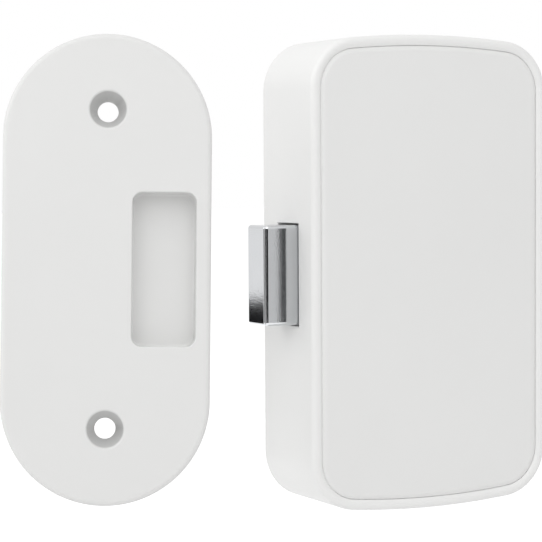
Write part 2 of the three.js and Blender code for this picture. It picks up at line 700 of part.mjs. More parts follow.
// The pinion's outline about its own axis, with involute flanks and a tooth towards the rack.
function pinionOutline() {
  const base = pitchRadius * Math.cos(PRESSURE_ANGLE);
  const outer = pitchRadius + pinionAddendum;
  const root = pitchRadius - rackAddendum - TOOTH_BOTTOM;
  const involute = (angle) => Math.tan(angle) - angle;
  const halfAtPitch = (toothPitch / 2 - BACKLASH) / 2 / pitchRadius;
  const halfAt = (radius) => halfAtPitch + involute(PRESSURE_ANGLE) - involute(Math.acos(base / radius));
  const shape = new THREE.Shape();
  const point = (radius, angle) => new THREE.Vector2(radius * Math.cos(angle), radius * Math.sin(angle));
  const flank = [base, pitchRadius, outer];
  const outline = [];
  for (let k = 0; k < PINION_TEETH; k += 1) {
    const middle = Math.PI / 2 + (k / PINION_TEETH) * Math.PI * 2;
    outline.push(point(root, middle - halfAt(base)));
    flank.forEach((radius) => outline.push(point(radius, middle - halfAt(radius))));
    [...flank].reverse().forEach((radius) => outline.push(point(radius, middle + halfAt(radius))));
    outline.push(point(root, middle + halfAt(base)));
  }
  shape.setFromPoints(outline);
  return shape;
}

function drivePinion() {
  const shape = pinionOutline();
  const geometry = new THREE.ExtrudeGeometry(shape, { depth: RACK_WIDTH, bevelEnabled: false });
  geometry.translate(PINION_X, motorY, rackBottom);
  const bore = roundZ(PINION_X, motorY, rackBottom - OVERCUT, rackTop + OVERCUT, SHAFT_RADIUS + PRESS_GAP);
  return solid(geometry).subtract(bore);
}

function driveShaft() {
  return roundZ(PINION_X, motorY, rackBottom, gearboxBottom + SHAFT_SOCKET, SHAFT_RADIUS);
}

// The gearbox on the motor: end plates round a narrower stack of wheels.
function gearbox() {
  const half = MOTOR_WIDTH / 2;
  const top = gearboxBottom + GEARBOX_LENGTH;
  const whole = block(PINION_X - half, PINION_X + half, motorFront, motorBack, gearboxBottom, top);
  const cuts = [-1, 1].map((side) => block(
    PINION_X + side * (half - GEARBOX_SIDE_CUT),
    PINION_X + side * (half + OVERCUT),
    motorFront - OVERCUT,
    motorBack + OVERCUT,
    gearboxBottom + GEARBOX_PLATE,
    top - GEARBOX_PLATE,
  ));
  const socketTop = gearboxBottom + SHAFT_SOCKET + SEAT_GAP;
  const socket = roundZ(PINION_X, motorY, gearboxBottom - OVERCUT, socketTop, SHAFT_RADIUS + TURN_GAP);
  return cutBy(whole, [...cuts, socket]);
}

// The motor's section: round sides and flat front and back.
function motorSection(inset) {
  const radius = MOTOR_WIDTH / 2 - inset;
  const flat = Math.asin((MOTOR_DEPTH / 2 - inset) / radius);
  const shape = new THREE.Shape();
  shape.absarc(PINION_X, motorY, radius, -flat, flat);
  shape.absarc(PINION_X, motorY, radius, Math.PI - flat, Math.PI + flat);
  return shape;
}

const motorCan = () => column(motorSection(0), motorBottom, motorTop);

function motorEndCap() {
  const bottom = motorTop + SEAT_GAP;
  const cap = column(motorSection(END_CAP_INSET), bottom, bottom + END_CAP_LENGTH);
  const offset = TERMINAL_SPACING / 2;
  const tabs = [-1, 1].map((side) => block(
    PINION_X + side * offset - TERMINAL_WIDTH / 2,
    PINION_X + side * offset + TERMINAL_WIDTH / 2,
    motorY - TERMINAL_SHEET / 2,
    motorY + TERMINAL_SHEET / 2,
    bottom + END_CAP_LENGTH / 2,
    bottom + END_CAP_LENGTH + TERMINAL_LENGTH,
  ));
  return joined([cap, ...tabs]);
}

// The bed that the motor lies on, over two bosses of the case.
function motorBed() {
  const low = bedMiddle - MOTOR_BED_LENGTH / 2;
  const high = bedMiddle + MOTOR_BED_LENGTH / 2;
  const bed = block(PINION_X - bedHalf, PINION_X + bedHalf, bedFront, backFace - SEAT_GAP, low, high);
  const cuts = [];
  clampScrews.forEach((place) => {
    const seat = bedFront + EAR_HEIGHT - SEAT_GAP;
    cuts.push(roundY(place.x, place.z, OVERCUT, seat, BOSS_RADIUS + SEAT_GAP));
    cuts.push(screwClearance(place.x, place.z, OVERCUT, bedFront - OVERCUT));
  });
  return cutBy(bed, cuts);
}

// The sheet strap over the motor, with a foot on each side.
function motorClamp() {
  const shape = new THREE.Shape();
  const footBack = bedFront - SEAT_GAP;
  const footFront = footBack - CLAMP_THICKNESS;
  const inner = MOTOR_WIDTH / 2 + SEAT_GAP;
  const top = motorFront - SEAT_GAP;
  shape.moveTo(PINION_X - bedHalf, footBack);
  shape.lineTo(PINION_X - bedHalf, footFront);
  shape.lineTo(PINION_X - clampReach, footFront);
  shape.lineTo(PINION_X - clampReach, top - CLAMP_THICKNESS);
  shape.lineTo(PINION_X + clampReach, top - CLAMP_THICKNESS);
  shape.lineTo(PINION_X + clampReach, footFront);
  shape.lineTo(PINION_X + bedHalf, footFront);
  shape.lineTo(PINION_X + bedHalf, footBack);
  shape.lineTo(PINION_X + inner, footBack);
  shape.lineTo(PINION_X + inner, top);
  shape.lineTo(PINION_X - inner, top);
  shape.lineTo(PINION_X - inner, footBack);
  const strap = column(shape, bedMiddle - CLAMP_WIDTH / 2, bedMiddle + CLAMP_WIDTH / 2);
  const holes = clampScrews.map(({ x, z }) => screwClearance(x, z, footBack + OVERCUT, footFront - OVERCUT));
  return cutBy(strap, holes);
}

// Where the parts of the circuit board sit on it.
const partBack = boardFront - PRESS_GAP;
const radioX = boardLeft + RADIO_WIDTH / 2 + SEAT_GAP;
const radioZ = boardBottom + RADIO_HEIGHT / 2 + SEAT_GAP;
const buzzerX = boardLeft + BUZZER_RADIUS + BOARD_HOLE_EDGE + SEAT_GAP;
const buzzerZ = radioZ + RADIO_HEIGHT / 2 + BUZZER_RADIUS + SEAT_GAP;
const switchX = boardRight - BOARD_HOLE_EDGE - SWITCH_SIZE / 2;
const switchZ = boardBottom + BOARD_HOLE_EDGE + SCREW_HEAD_RADIUS + SWITCH_SIZE / 2 + SEAT_GAP;
const socketX = boardRight - SOCKET_WIDTH / 2 - SEAT_GAP;
const motorSocketZ = boardTop - BOARD_HOLE_EDGE - SCREW_HEAD_RADIUS - SEAT_GAP - SOCKET_HEIGHT / 2;
const cellSocketZ = motorSocketZ - SOCKET_HEIGHT - SEAT_GAP * 2;
const sensorX = boardLeft + BOARD_WIDTH / 2;
const sensorZ = boardTop - SENSOR_HEIGHT / 2 - SEAT_GAP;

function mainBoard() {
  const board = block(boardLeft, boardRight, boardFront, boardBack, boardBottom, boardTop);
  const past = boardFront - OVERCUT;
  const holes = boardScrews.map(({ x, z }) => screwClearance(x, z, boardBack + OVERCUT, past));
  return cutBy(board, holes);
}

function radioModule() {
  const left = radioX - RADIO_WIDTH / 2;
  const right = radioX + RADIO_WIDTH / 2;
  const low = radioZ - RADIO_HEIGHT / 2;
  const high = radioZ + RADIO_HEIGHT / 2;
  const plate = block(left, right, partBack - RADIO_PLATE, partBack, low, high);
  const can = block(
    left + RADIO_AERIAL,
    right - SEAT_GAP,
    partBack - RADIO_THICKNESS,
    partBack,
    low + SEAT_GAP,
    high - SEAT_GAP,
  );
  return plate.add(can);
}

function buzzer() {
  const drum = roundY(buzzerX, buzzerZ, partBack, partBack - BUZZER_HEIGHT, BUZZER_RADIUS);
  const front = partBack - BUZZER_HEIGHT;
  return drum.subtract(roundY(buzzerX, buzzerZ, front + OVERCUT, front - OVERCUT, BUZZER_PORT_RADIUS));
}

function pairingSwitch() {
  const half = SWITCH_SIZE / 2;
  const front = partBack - SWITCH_HEIGHT;
  const base = block(switchX - half, switchX + half, front, partBack, switchZ - half, switchZ + half);
  const wellFloor = front + BUTTON_SOCKET + SEAT_GAP;
  const well = roundY(switchX, switchZ, wellFloor, front - OVERCUT, BUTTON_RADIUS + SLIDE_GAP);
  return base.subtract(well);
}

// The button stands clear of its well's floor by its own travel.
function pairingButton() {
  const back = partBack - SWITCH_HEIGHT + BUTTON_SOCKET - BUTTON_TRAVEL;
  return roundY(switchX, switchZ, back, back - BUTTON_HEIGHT, BUTTON_RADIUS);
}

// A two-way wire socket that opens to the right.
function wireSocket(z) {
  const half = SOCKET_HEIGHT / 2;
  const left = socketX - SOCKET_WIDTH / 2;
  const right = socketX + SOCKET_WIDTH / 2;
  const front = partBack - SOCKET_DEPTH;
  const base = block(left, right, front, partBack, z - half, z + half);
  const mouth = block(
    left + SOCKET_WALL * 2,
    right + OVERCUT,
    front + SOCKET_WALL,
    partBack - SOCKET_WALL,
    z - half + SOCKET_WALL,
    z + half - SOCKET_WALL,
  );
  return base.subtract(mouth);
}

function positionSensor() {
  const halfX = SENSOR_WIDTH / 2;
  const halfZ = SENSOR_HEIGHT / 2;
  const front = partBack - SENSOR_THICKNESS;
  return block(sensorX - halfX, sensorX + halfX, front, partBack, sensorZ - halfZ, sensorZ + halfZ);
}

// The cells lie across the case, head to tail.
const trayHalf = halfInner - TRAY_GAP;
const bayHalf = trayHalf - TRAY_WALL;
const upperCellZ = trayTop - TRAY_WALL - CELL_PLAY - CELL_DIAMETER / 2;
const lowerCellZ = upperCellZ - CELL_DIAMETER - CELL_PLAY;
const buttonEnd = CONTACT_SHEET + CONTACT_GAP * 2; // room at a cell's button end

function batteryTray() {
  const rim = cellY - TRAY_RISE;
  const box = block(-trayHalf, trayHalf, rim, backFace - SEAT_GAP, trayBottom, trayTop);
  const bayBottom = trayBottom + TRAY_WALL;
  const bay = block(-bayHalf, bayHalf, rim - OVERCUT, trayFloor, bayBottom, trayTop - TRAY_WALL);
  const rib = (upperCellZ + lowerCellZ) / 2;
  const divider = block(
    -TRAY_RIB_LENGTH / 2,
    TRAY_RIB_LENGTH / 2,
    trayFloor - TRAY_RIB_HEIGHT,
    trayFloor + TRAY_FLOOR / 2,
    rib - TRAY_WALL / 2,
    rib + TRAY_WALL / 2,
  );
  const ears = trayEars.map((place) => ear(place.x, place.z, trayBottom + TRAY_WALL / 2));
  const holes = trayEars.map(({ x, z }) => screwClearance(x, z, earBack, earFront - OVERCUT));
  return cutBy(joined([box.subtract(bay), divider, ...ears]), holes);
}

// A cell with its button towards the left, or turned round.
function cell(z, side) {
  const radius = CELL_DIAMETER / 2;
  const body = CELL_LENGTH - CELL_BUTTON_LENGTH;
  const profile = [
    new THREE.Vector2(0, 0),
    new THREE.Vector2(radius - CELL_ROUND, 0),
    new THREE.Vector2(radius, CELL_ROUND),
    new THREE.Vector2(radius, body - CELL_ROUND),
    new THREE.Vector2(radius - CELL_ROUND, body),
    new THREE.Vector2(CELL_BUTTON_RADIUS, body),
    new THREE.Vector2(CELL_BUTTON_RADIUS, CELL_LENGTH),
    new THREE.Vector2(0, CELL_LENGTH),
  ];
  const lathe = new THREE.LatheGeometry(profile, ROUND_SIDES);
  lathe.rotateZ((-side * Math.PI) / 2);
  lathe.translate(side * (bayHalf - buttonEnd - CELL_LENGTH), cellY, z);
  return solid(lathe);
}

// A contact plate against the tray's end wall. The coil, if it has one, grows from the plate.
function contactPlate(side, lowZ, highZ) {
  const outer = side * (bayHalf - CONTACT_GAP);
  const inner = side * (bayHalf - CONTACT_GAP - CONTACT_SHEET);
  const half = CONTACT_SIZE / 2;
  return block(outer, inner, cellY - half, cellY + half, lowZ - half, highZ + half);
}

function contactCoil(label, side, z) {
  const face = bayHalf - CONTACT_GAP - CONTACT_SHEET;
  const root = side * (face + COIL_WIRE / 2); // half of the first turn's wire is in the plate
  const tip = side * (face - COIL_LENGTH);
  return coilSpring(label, root, tip, cellY, z, COIL_BASE_RADIUS, COIL_TIP_RADIUS, COIL_WIRE, COIL_TURNS);
}

const positiveContact = () => contactPlate(-1, upperCellZ, upperCellZ);

function negativeContact() {
  return contactPlate(-1, lowerCellZ, lowerCellZ).add(contactCoil("negative_contact", -1, lowerCellZ));
}

function bridgeContact() {
  return contactPlate(1, lowerCellZ, upperCellZ).add(contactCoil("bridge_contact", 1, upperCellZ));
}

// Two-wire leads along hand-laid routes. The motor's run over its end cap to the upper socket.
// The cells' run from the left contacts, in front of the latch guide, to the lower socket, and
// are laid from the case's left wall.
const route = (points, fromX = 0) => points.map(([x, y, z]) => new THREE.Vector3(fromX + x, y, z));
const motorLeadRed = route([
  [6, -13.2, 39.2], [5.2, -13.3, 40.3], [3, -12.9, 40.9], [1, -12, 40], [-0.4, -11, 37.5],
  [-0.8, -10.3, 34.5], [-1.4, -10.1, 32.4], [-3, -10.1, 31.7], [-6, -10.1, 31.7],
]);
const motorLeadBlack = route([
  [12, -13.2, 39.2], [11.2, -13.6, 40.5], [8, -14.4, 41.2], [3, -14.4, 41.2], [0.8, -13.4, 39.2],
  [0.6, -11.8, 35.6], [0.2, -10.6, 32.4], [-0.8, -10.1, 30.8], [-3, -10.1, 30.4], [-6, -10.1, 30.4],
]);
const cellLeadRed = route([
  [1.6, -13.3, -17.4], [2.2, -15.2, -15.4], [3.2, -17.2, -12], [3.8, -17.5, -6], [4, -17.5, 0],
  [4.2, -17.5, 6], [5.2, -17.4, 11], [11, -16.8, 14.4], [18, -15.6, 17], [22, -13.8, 20.6],
  [22.8, -12.8, 25], [22.8, -11.3, 27.5], [21.6, -10.2, 27.4], [19, -10.1, 27.3],
], -halfInner);
const cellLeadBlack = route([
  [1.6, -13.3, -29], [2.4, -15.4, -26.4], [3.4, -16.8, -20], [4.6, -17.5, -12], [5.2, -17.5, -6],
  [5.4, -17.5, 0], [5.6, -17.5, 6], [6.8, -17.4, 9.6], [13, -16.6, 12.6], [20.4, -14.8, 16.4],
  [24, -12.4, 21.4], [24.4, -11.2, 23.8], [23.6, -10.3, 25.5], [21.8, -10.1, 26], [19, -10.1, 26],
], -halfInner);

function lead(points) {
  const path = new THREE.CatmullRomCurve3(points);
  const section = new THREE.Shape();
  const around = [];
  for (let s = 0; s < LEAD_SIDES; s += 1) {
    const turn = (s / LEAD_SIDES) * Math.PI * 2;
    around.push(new THREE.Vector2(Math.cos(turn), Math.sin(turn)).multiplyScalar(LEAD_RADIUS));
  }
  section.setFromPoints(around);
  const steps = Math.round(path.getLength() / LEAD_STEP);
  return solid(new THREE.ExtrudeGeometry(section, { steps, extrudePath: path, bevelEnabled: false }));
}

// The strike plate about its own middle: round ends, two countersunk holes and the pocket.
function strikePlate() {
  const halfX = STRIKE_WIDTH / 2;
  const halfZ = STRIKE_LENGTH / 2;
  const back = STRIKE_THICKNESS / 2;
  const front = -STRIKE_THICKNESS / 2;
  const outline = roundedRectangle(-halfX, halfX, -halfZ, halfZ, halfX);
  const plate = roundedSlab(outline, back, front, STRIKE_EDGE_ROUND);
  const pocket = slab(
    roundedRectangle(
      STRIKE_POCKET_OFFSET - STRIKE_POCKET_WIDTH / 2,
      STRIKE_POCKET_OFFSET + STRIKE_POCKET_WIDTH / 2,
      -STRIKE_POCKET_HEIGHT / 2,
      STRIKE_POCKET_HEIGHT / 2,
      STRIKE_POCKET_RADIUS,
    ),
    front + STRIKE_POCKET_DEPTH,
    front - OVERCUT,
  );
  const cuts = [pocket];
  [-1, 1].forEach((end) => {
    const z = (end * STRIKE_HOLE_SPACING) / 2;
    cuts.push(roundY(0, z, back + OVERCUT, front - OVERCUT, STRIKE_HOLE_RADIUS));
    cuts.push(roundY(0, z, front + STRIKE_SINK_DEPTH, front, STRIKE_HOLE_RADIUS, STRIKE_SINK_RADIUS));
  });
  return cutBy(plate, cuts);
}

function finish(color, roughness, metalness) {
  return new THREE.MeshStandardMaterial({ color, roughness, metalness });
}

const whitePlastic = () => finish(0xeeeeec, 0.45, 0);
const chrome = () => finish(0xd8d9da, 0.08, 1);
const steel = () => finish(0xb4b6b8, 0.35, 1);
const brass = () => finish(0xc9a759, 0.3, 1);
const acetal = () => finish(0xf4f2ea, 0.4, 0);
const blackPlastic = () => finish(0x1d1e20, 0.5, 0);
const boardGreen = () => finish(0x1c5a3a, 0.5, 0);

const lock = new THREE.Group();

function place(parent, name, body, material) {
  const mesh = new THREE.Mesh(geometryOf(body), material);
  mesh.name = name;
  parent.add(mesh);
}

place(lock, "case_body", caseBody(), whitePlastic());
place(lock, "front_cover", frontCover(), whitePlastic());
place(lock, "latch_guide", latchGuide(), acetal());
place(lock, "guide_screw", screw(guideEar.x, guideEar.z, earFront, SCREW_LENGTH), steel());
place(lock, "latch_bolt", latchBolt(), chrome());
place(lock, "latch_spring", latchSpring(), steel());
place(lock, "latch_clip", latchClip(), steel());
place(lock, "carriage", carriage(), acetal());
place(lock, "carriage_magnet", carriageMagnet(), steel());
place(lock, "drive_pinion", drivePinion(), brass());
place(lock, "drive_shaft", driveShaft(), steel());
place(lock, "gearbox", gearbox(), brass());
place(lock, "motor_can", motorCan(), steel());
place(lock, "motor_end_cap", motorEndCap(), blackPlastic());
place(lock, "motor_bed", motorBed(), blackPlastic());
place(lock, "motor_clamp", motorClamp(), steel());
const clampSeat = bedFront - SEAT_GAP - CLAMP_THICKNESS;
clampScrews.forEach((at) => place(lock, at.name, screw(at.x, at.z, clampSeat, SCREW_LENGTH), steel()));
place(lock, "main_board", mainBoard(), boardGreen());
place(lock, "radio_module", radioModule(), steel());
place(lock, "buzzer", buzzer(), blackPlastic());
place(lock, "pairing_switch", pairingSwitch(), steel());
place(lock, "pairing_button", pairingButton(), blackPlastic());
place(lock, "motor_socket", wireSocket(motorSocketZ), acetal());
place(lock, "cell_socket", wireSocket(cellSocketZ), acetal());
place(lock, "position_sensor", positionSensor(), blackPlastic());
boardScrews.forEach((at) => place(lock, at.name, screw(at.x, at.z, boardFront, SCREW_LENGTH), steel()));
place(lock, "battery_tray", batteryTray(), blackPlastic());
trayEars.forEach((at, i) => {
  const name = i === 0 ? "tray_screw_left" : "tray_screw_right";
  place(lock, name, screw(at.x, at.z, earFront, SCREW_LENGTH), steel());
});
place(lock, "upper_cell", cell(upperCellZ, -1), finish(0x3f5b78, 0.35, 0.2));
place(lock, "lower_cell", cell(lowerCellZ, 1), finish(0x3f5b78, 0.35, 0.2));
place(lock, "positive_contact", positiveContact(), steel());
place(lock, "negative_contact", negativeContact(), steel());
place(lock, "bridge_contact", bridgeContact(), steel());
place(lock, "motor_lead_red", lead(motorLeadRed), finish(0xa8231f, 0.5, 0));
place(lock, "motor_lead_black", lead(motorLeadBlack), blackPlastic());
place(lock, "cell_lead_red", lead(cellLeadRed), finish(0xa8231f, 0.5, 0));
place(lock, "cell_lead_black", lead(cellLeadBlack), blackPlastic());

// The strike stands beside the lock, turned and leaning as it would be handed over in a set.
const strike = new THREE.Group();
strike.rotation.set(STRIKE_LEAN, STRIKE_TILT, STRIKE_TURN, "ZXY");
strike.position.set(-halfWidth - STRIKE_DISTANCE, -STRIKE_SETBACK, STRIKE_RISE);
place(strike, "strike_plate", strikePlate(), whitePlastic());
lock.add(strike);

const caseSize = [halfWidth * 2, -coverFront, halfHeight * 2].map((size) => size.toFixed(2));
console.log(`case ${caseSize.join(" x ")} mm`);

export default lock;
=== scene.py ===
"""Looks of a white smart cabinet lock and its strike plate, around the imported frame."""

import json
import logging
import math
from collections.abc import Callable, Iterable, Sequence
from dataclasses import dataclass, replace
from enum import Enum

import bmesh
import bpy
from bmesh.types import BMEdge, BMFace, BMVert
from mathutils import Matrix, Vector


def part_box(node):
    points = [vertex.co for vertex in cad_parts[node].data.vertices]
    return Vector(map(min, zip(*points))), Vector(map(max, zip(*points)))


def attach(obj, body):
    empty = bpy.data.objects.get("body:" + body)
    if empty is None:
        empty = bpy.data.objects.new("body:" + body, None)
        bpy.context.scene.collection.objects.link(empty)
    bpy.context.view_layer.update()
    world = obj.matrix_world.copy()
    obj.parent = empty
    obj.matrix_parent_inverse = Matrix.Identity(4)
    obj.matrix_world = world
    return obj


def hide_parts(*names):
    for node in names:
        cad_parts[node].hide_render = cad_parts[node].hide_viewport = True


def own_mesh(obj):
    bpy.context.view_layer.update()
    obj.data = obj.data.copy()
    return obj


LOG = logging.getLogger("cabinet_lock")
MM = 0.001
FULL_TURN = 2 * math.pi
MERGE_MM = 0.01
TOUCH_MM = 0.001
# How far a cutter or a joined rib runs past the face that it meets.
OVERRUN = 1.0
SMOOTH_ANGLE = math.radians(38)
FLAT_ANGLE = math.radians(0.5)
# Steps across a bowed border, and round a turned or round-ended piece.
BOW_STEPS = 6
ROUND_STEPS = 64
WIRE_SIDES = 10
# Octaves of the noise that moves a finish's tone, and of the noise that makes its grain.
DRIFT_DETAIL = 3.0
GRAIN_DETAIL = 2.0
# Sockets of a Mix node that mixes colours: the share, the two colours and the result.
MIX_SHARE, MIX_FIRST, MIX_SECOND, MIX_RESULT = 0, 6, 7, 2

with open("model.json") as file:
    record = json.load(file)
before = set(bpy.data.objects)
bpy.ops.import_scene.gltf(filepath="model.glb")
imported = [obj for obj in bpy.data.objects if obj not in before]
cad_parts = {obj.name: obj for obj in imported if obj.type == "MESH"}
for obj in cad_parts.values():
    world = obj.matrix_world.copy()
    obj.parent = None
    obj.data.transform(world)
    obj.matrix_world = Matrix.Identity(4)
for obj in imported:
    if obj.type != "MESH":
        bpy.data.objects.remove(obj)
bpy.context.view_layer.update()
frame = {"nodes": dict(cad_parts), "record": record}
BODIES = frame["record"]["behaviour"]["bodies"]
BODY_OF_NODE = {node: body for body, nodes in BODIES.items() for node in nodes}
SCREW_NODES = sorted(node for node in BODY_OF_NODE if "_screw" in node)


class Combine(Enum):
    """How one sculpt changes another."""

    CUT = "DIFFERENCE"
    JOIN = "UNION"


class Axis(Enum):
    """Directions in the frame."""

    X = (1.0, 0.0, 0.0)
    Y = (0.0, 1.0, 0.0)
    FRONT = (0.0, -1.0, 0.0)


def linear(colour: str) -> tuple[float, float, float, float]:
    """Turns an sRGB hex colour into linear light.

    Args:
        colour: Six hex digits after a hash sign.

    Returns:
        Linear red, green and blue, with full alpha.
    """
    parts = [int(colour[at : at + 2], 16) / 255 for at in (1, 3, 5)]
    red, green, blue = (c / 12.92 if c <= 0.04045 else ((c + 0.055) / 1.055) ** 2.4 for c in parts)
    return red, green, blue, 1.0


def add_node(
    tree: bpy.types.NodeTree,
    kind: str,
    values: dict[str | int, object] | None = None,
    links: dict[str | int, bpy.types.NodeSocket] | None = None,
    **settings: object,
) -> bpy.types.Node:
    """Adds a shader node with its settings, input values and links.

    Args:
        tree: Node tree that takes the node.
        kind: Node type without the words that all types start with.
        values: Input values by socket name or index.
        links: Sockets that feed the inputs, by socket name or index.
        settings: Properties of the node itself.

    Returns:
        The new node.
    """
    node = tree.nodes.new("ShaderNode" + kind)
    for name, value in settings.items():
        setattr(node, name, value)
    for socket, value in (values or {}).items():
        node.inputs[socket].default_value = value
    for socket, source in (links or {}).items():
        tree.links.new(source, node.inputs[socket])
    return node


def blank_material(name: str) -> bpy.types.Material:
    """Makes a material that has no nodes yet.

    Args:
        name: Material's name.

    Returns:
        The material.
    """
    made = bpy.data.materials.new(name)
    made.use_nodes = True
    made.node_tree.nodes.clear()
    return made


def add_object(name: str, data: bpy.types.ID) -> bpy.types.Object:
    """Puts a mesh, a lamp or a camera into the scene.

    Args:
        name: Object's name.
        data: What the object shows.

    Returns:
        The object.
    """
    made = bpy.data.objects.new(name, data)
    bpy.context.scene.collection.objects.link(made)
    return made


@dataclass(frozen=True)
class Finish:
    """A real material and the process that made its surface."""

    name: str
    slot: str
    colour: str
    shade: str
    roughness: tuple[float, float]
    drift_mm: float = 20.0
    grain_mm: float = 0.4
    depth_mm: float = 0.004
    metallic: float = 0.0
    ior: float = 1.5
    stretch: tuple[float, float, float] = (1.0, 1.0, 1.0)

    def material(self) -> bpy.types.Material:
        """Builds the finish once and hands it out after that.

        Returns:
            The procedural material.
        """
        known = bpy.data.materials.get(self.name)
        if known is not None:
            return known
        made = blank_material(self.name)
        tree = made.node_tree
        values: dict[str | int, object] = {"Metallic": self.metallic}
        if self.metallic == 0.0:
            values["IOR"] = self.ior
        shader = add_node(tree, "BsdfPrincipled", values)
        place = add_node(tree, "TexCoord").outputs["Object"]
        tree.links.new(self.tone(tree, place), shader.inputs["Base Color"])
        self.surface(tree, place, shader)
        add_node(tree, "OutputMaterial", links={"Surface": shader.outputs["BSDF"]})
        return made

    def tone(self, tree: bpy.types.NodeTree, place: bpy.types.NodeSocket) -> bpy.types.NodeSocket:
        """Lets the colour drift between the two tones over a real distance.

        Args:
            tree: Material's node tree.
            place: Object coordinates.

        Returns:
            The colour socket.
        """
        scale = 1 / (self.drift_mm * MM)
        drift = add_node(tree, "TexNoise", {"Scale": scale, "Detail": DRIFT_DETAIL}, {"Vector": place})
        tones = {MIX_FIRST: linear(self.colour), MIX_SECOND: linear(self.shade)}
        mix = add_node(tree, "Mix", tones, {MIX_SHARE: drift.outputs[0]}, data_type="RGBA")
        return mix.outputs[MIX_RESULT]

    def surface(self, tree: bpy.types.NodeTree, place: bpy.types.NodeSocket, shader: bpy.types.Node) -> None:
        """Gives the surface its grain, in roughness and in relief.

        Args:
            tree: Material's node tree.
            place: Object coordinates.
            shader: Shader that takes the roughness and the relief.
        """
        along = add_node(tree, "Mapping", {"Scale": self.stretch}, {"Vector": place})
        scale = 1 / (self.grain_mm * MM)
        noise = {"Scale": scale, "Detail": GRAIN_DETAIL}
        grain = add_node(tree, "TexNoise", noise, {"Vector": along.outputs[0]})
        low, high = self.roughness
        rough = add_node(tree, "MapRange", {"To Min": low, "To Max": high}, {"Value": grain.outputs[0]})
        tree.links.new(rough.outputs[0], shader.inputs["Roughness"])
        depth = {"Strength": 1.0, "Distance": self.depth_mm * MM}
        relief = add_node(tree, "Bump", depth, {"Height": grain.outputs[0]})
        tree.links.new(relief.outputs[0], shader.inputs["Normal"])


@dataclass(frozen=True)
class TrackedLaminate(Finish):
    """Glass-epoxy board under solder mask, with copper tracks that show through it."""

    track: str = "#2f7a52"
    track_mm: float = 0.28
    track_blur: float = 0.1
    cell_mm: float = 2.6

    def tone(self, tree: bpy.types.NodeTree, place: bpy.types.NodeSocket) -> bpy.types.NodeSocket:
        """Draws the tracks as a grid of staggered runs over the mask's own tone.

        Args:
            tree: Material's node tree.
            place: Object coordinates.

        Returns:
            The colour socket.
        """
        flat = add_node(tree, "Mapping", {"Rotation": (-math.pi / 2, 0.0, 0.0)}, {"Vector": place})
        mask = super().tone(tree, place)
        runs = add_node(
            tree,
            "TexBrick",
            {
                "Scale": 1 / MM,
                "Mortar Size": self.track_mm / 2,
                "Mortar Smooth": self.track_blur,
                "Brick Width": self.cell_mm * 2,
                "Row Height": self.cell_mm,
                "Mortar": linear(self.track),
            },
            {"Vector": flat.outputs[0], "Color1": mask, "Color2": mask},
        )
        return runs.outputs["Color"]


@dataclass(frozen=True)
class BandedSleeve(Finish):
    """Shrink sleeve of a cell, printed in two plain bands along its length."""

    band: str = "#b98a3e"
    band_from_mm: float = 0.0
    band_to_mm: float = 1.0

    def tone(self, tree: bpy.types.NodeTree, place: bpy.types.NodeSocket) -> bpy.types.NodeSocket:
        """Changes the colour at the band's edge.

        Args:
            tree: Material's node tree.
            place: Object coordinates.

        Returns:
            The colour socket.
        """
        base = super().tone(tree, place)
        along = add_node(tree, "SeparateXYZ", links={0: place}).outputs[0]
        edge = {"From Min": self.band_from_mm * MM, "From Max": self.band_to_mm * MM}
        inside = add_node(tree, "MapRange", edge, {"Value": along}).outputs[0]
        parts = {MIX_SHARE: inside, MIX_FIRST: base}
        mix = add_node(tree, "Mix", {MIX_SECOND: linear(self.band)}, parts, data_type="RGBA")
        return mix.outputs[MIX_RESULT]


@dataclass(frozen=True)
class SinkShadedMoulding(Finish):
    """Moulded plate whose countersinks carry painted shade: they are painted a darker grey than its face."""

    # Grey painted into the countersinks as shade, and the radius that the painted shade reaches from each
    # hole's axis.
    sink_shade: str = "#c6c6c5"
    sink_shade_mm: float = 3.5
    blur_mm: float = 0.15
    spacing_mm: float = 60.0
    place_mm: tuple[float, float, float] = (0.0, 0.0, 0.0)
    stand: tuple[float, float, float] = (0.0, 0.0, 0.0)

    def tone(self, tree: bpy.types.NodeTree, place: bpy.types.NodeSocket) -> bpy.types.NodeSocket:
        """Paints shade on the countersinks: greys the plate within a radius of each hole's axis.

        Args:
            tree: Material's node tree.
            place: Object coordinates.

        Returns:
            The colour socket.
        """
        face = super().tone(tree, place)
        stand = {"Location": tuple(value * MM for value in self.place_mm), "Rotation": self.stand}
        own = add_node(tree, "Mapping", stand, {"Vector": place}, vector_type="TEXTURE")
        # Both holes fold onto one, and the distance is taken across their axis.
        folded = add_node(tree, "VectorMath", links={0: own.outputs[0]}, operation="ABSOLUTE")
        hole = (0.0, 0.0, self.spacing_mm / 2 * MM)
        off = add_node(tree, "VectorMath", {1: hole}, {0: folded.outputs[0]}, operation="SUBTRACT")
        across = (1.0, 0.0, 1.0)
        flat = add_node(tree, "VectorMath", {1: across}, {0: off.outputs[0]}, operation="MULTIPLY")
        away = add_node(tree, "VectorMath", links={0: flat.outputs[0]}, operation="LENGTH")
        edge = {"From Min": self.sink_shade_mm * MM, "From Max": (self.sink_shade_mm - self.blur_mm) * MM}
        ring = add_node(tree, "MapRange", edge, {"Value": away.outputs["Value"]}).outputs[0]
        # The second colour is painted shade, darkening each countersink.
        parts = {MIX_SHARE: ring, MIX_FIRST: face}
        mix = add_node(tree, "Mix", {MIX_SECOND: linear(self.sink_shade)}, parts, data_type="RGBA")
        return mix.outputs[MIX_RESULT]


# The real grain of these finishes is finer than the picture shows, so each is drawn coarser than life.
# Injection-moulded ABS from a spark-eroded mould: soft even sheen, no mirror image.
WHITE_SHELL = Finish(
    "abs_white_moulded_shell", "white_shell", "#ececeb", "#e8e8e7",
    roughness=(0.38, 0.48), drift_mm=26.0, grain_mm=0.35, depth_mm=0.0025,
)
WHITE_COVER = Finish(
    "abs_white_moulded_cover", "white_cover", "#e7e7e6", "#e3e3e2",
    roughness=(0.40, 0.50), drift_mm=30.0, grain_mm=0.35, depth_mm=0.0025,
)
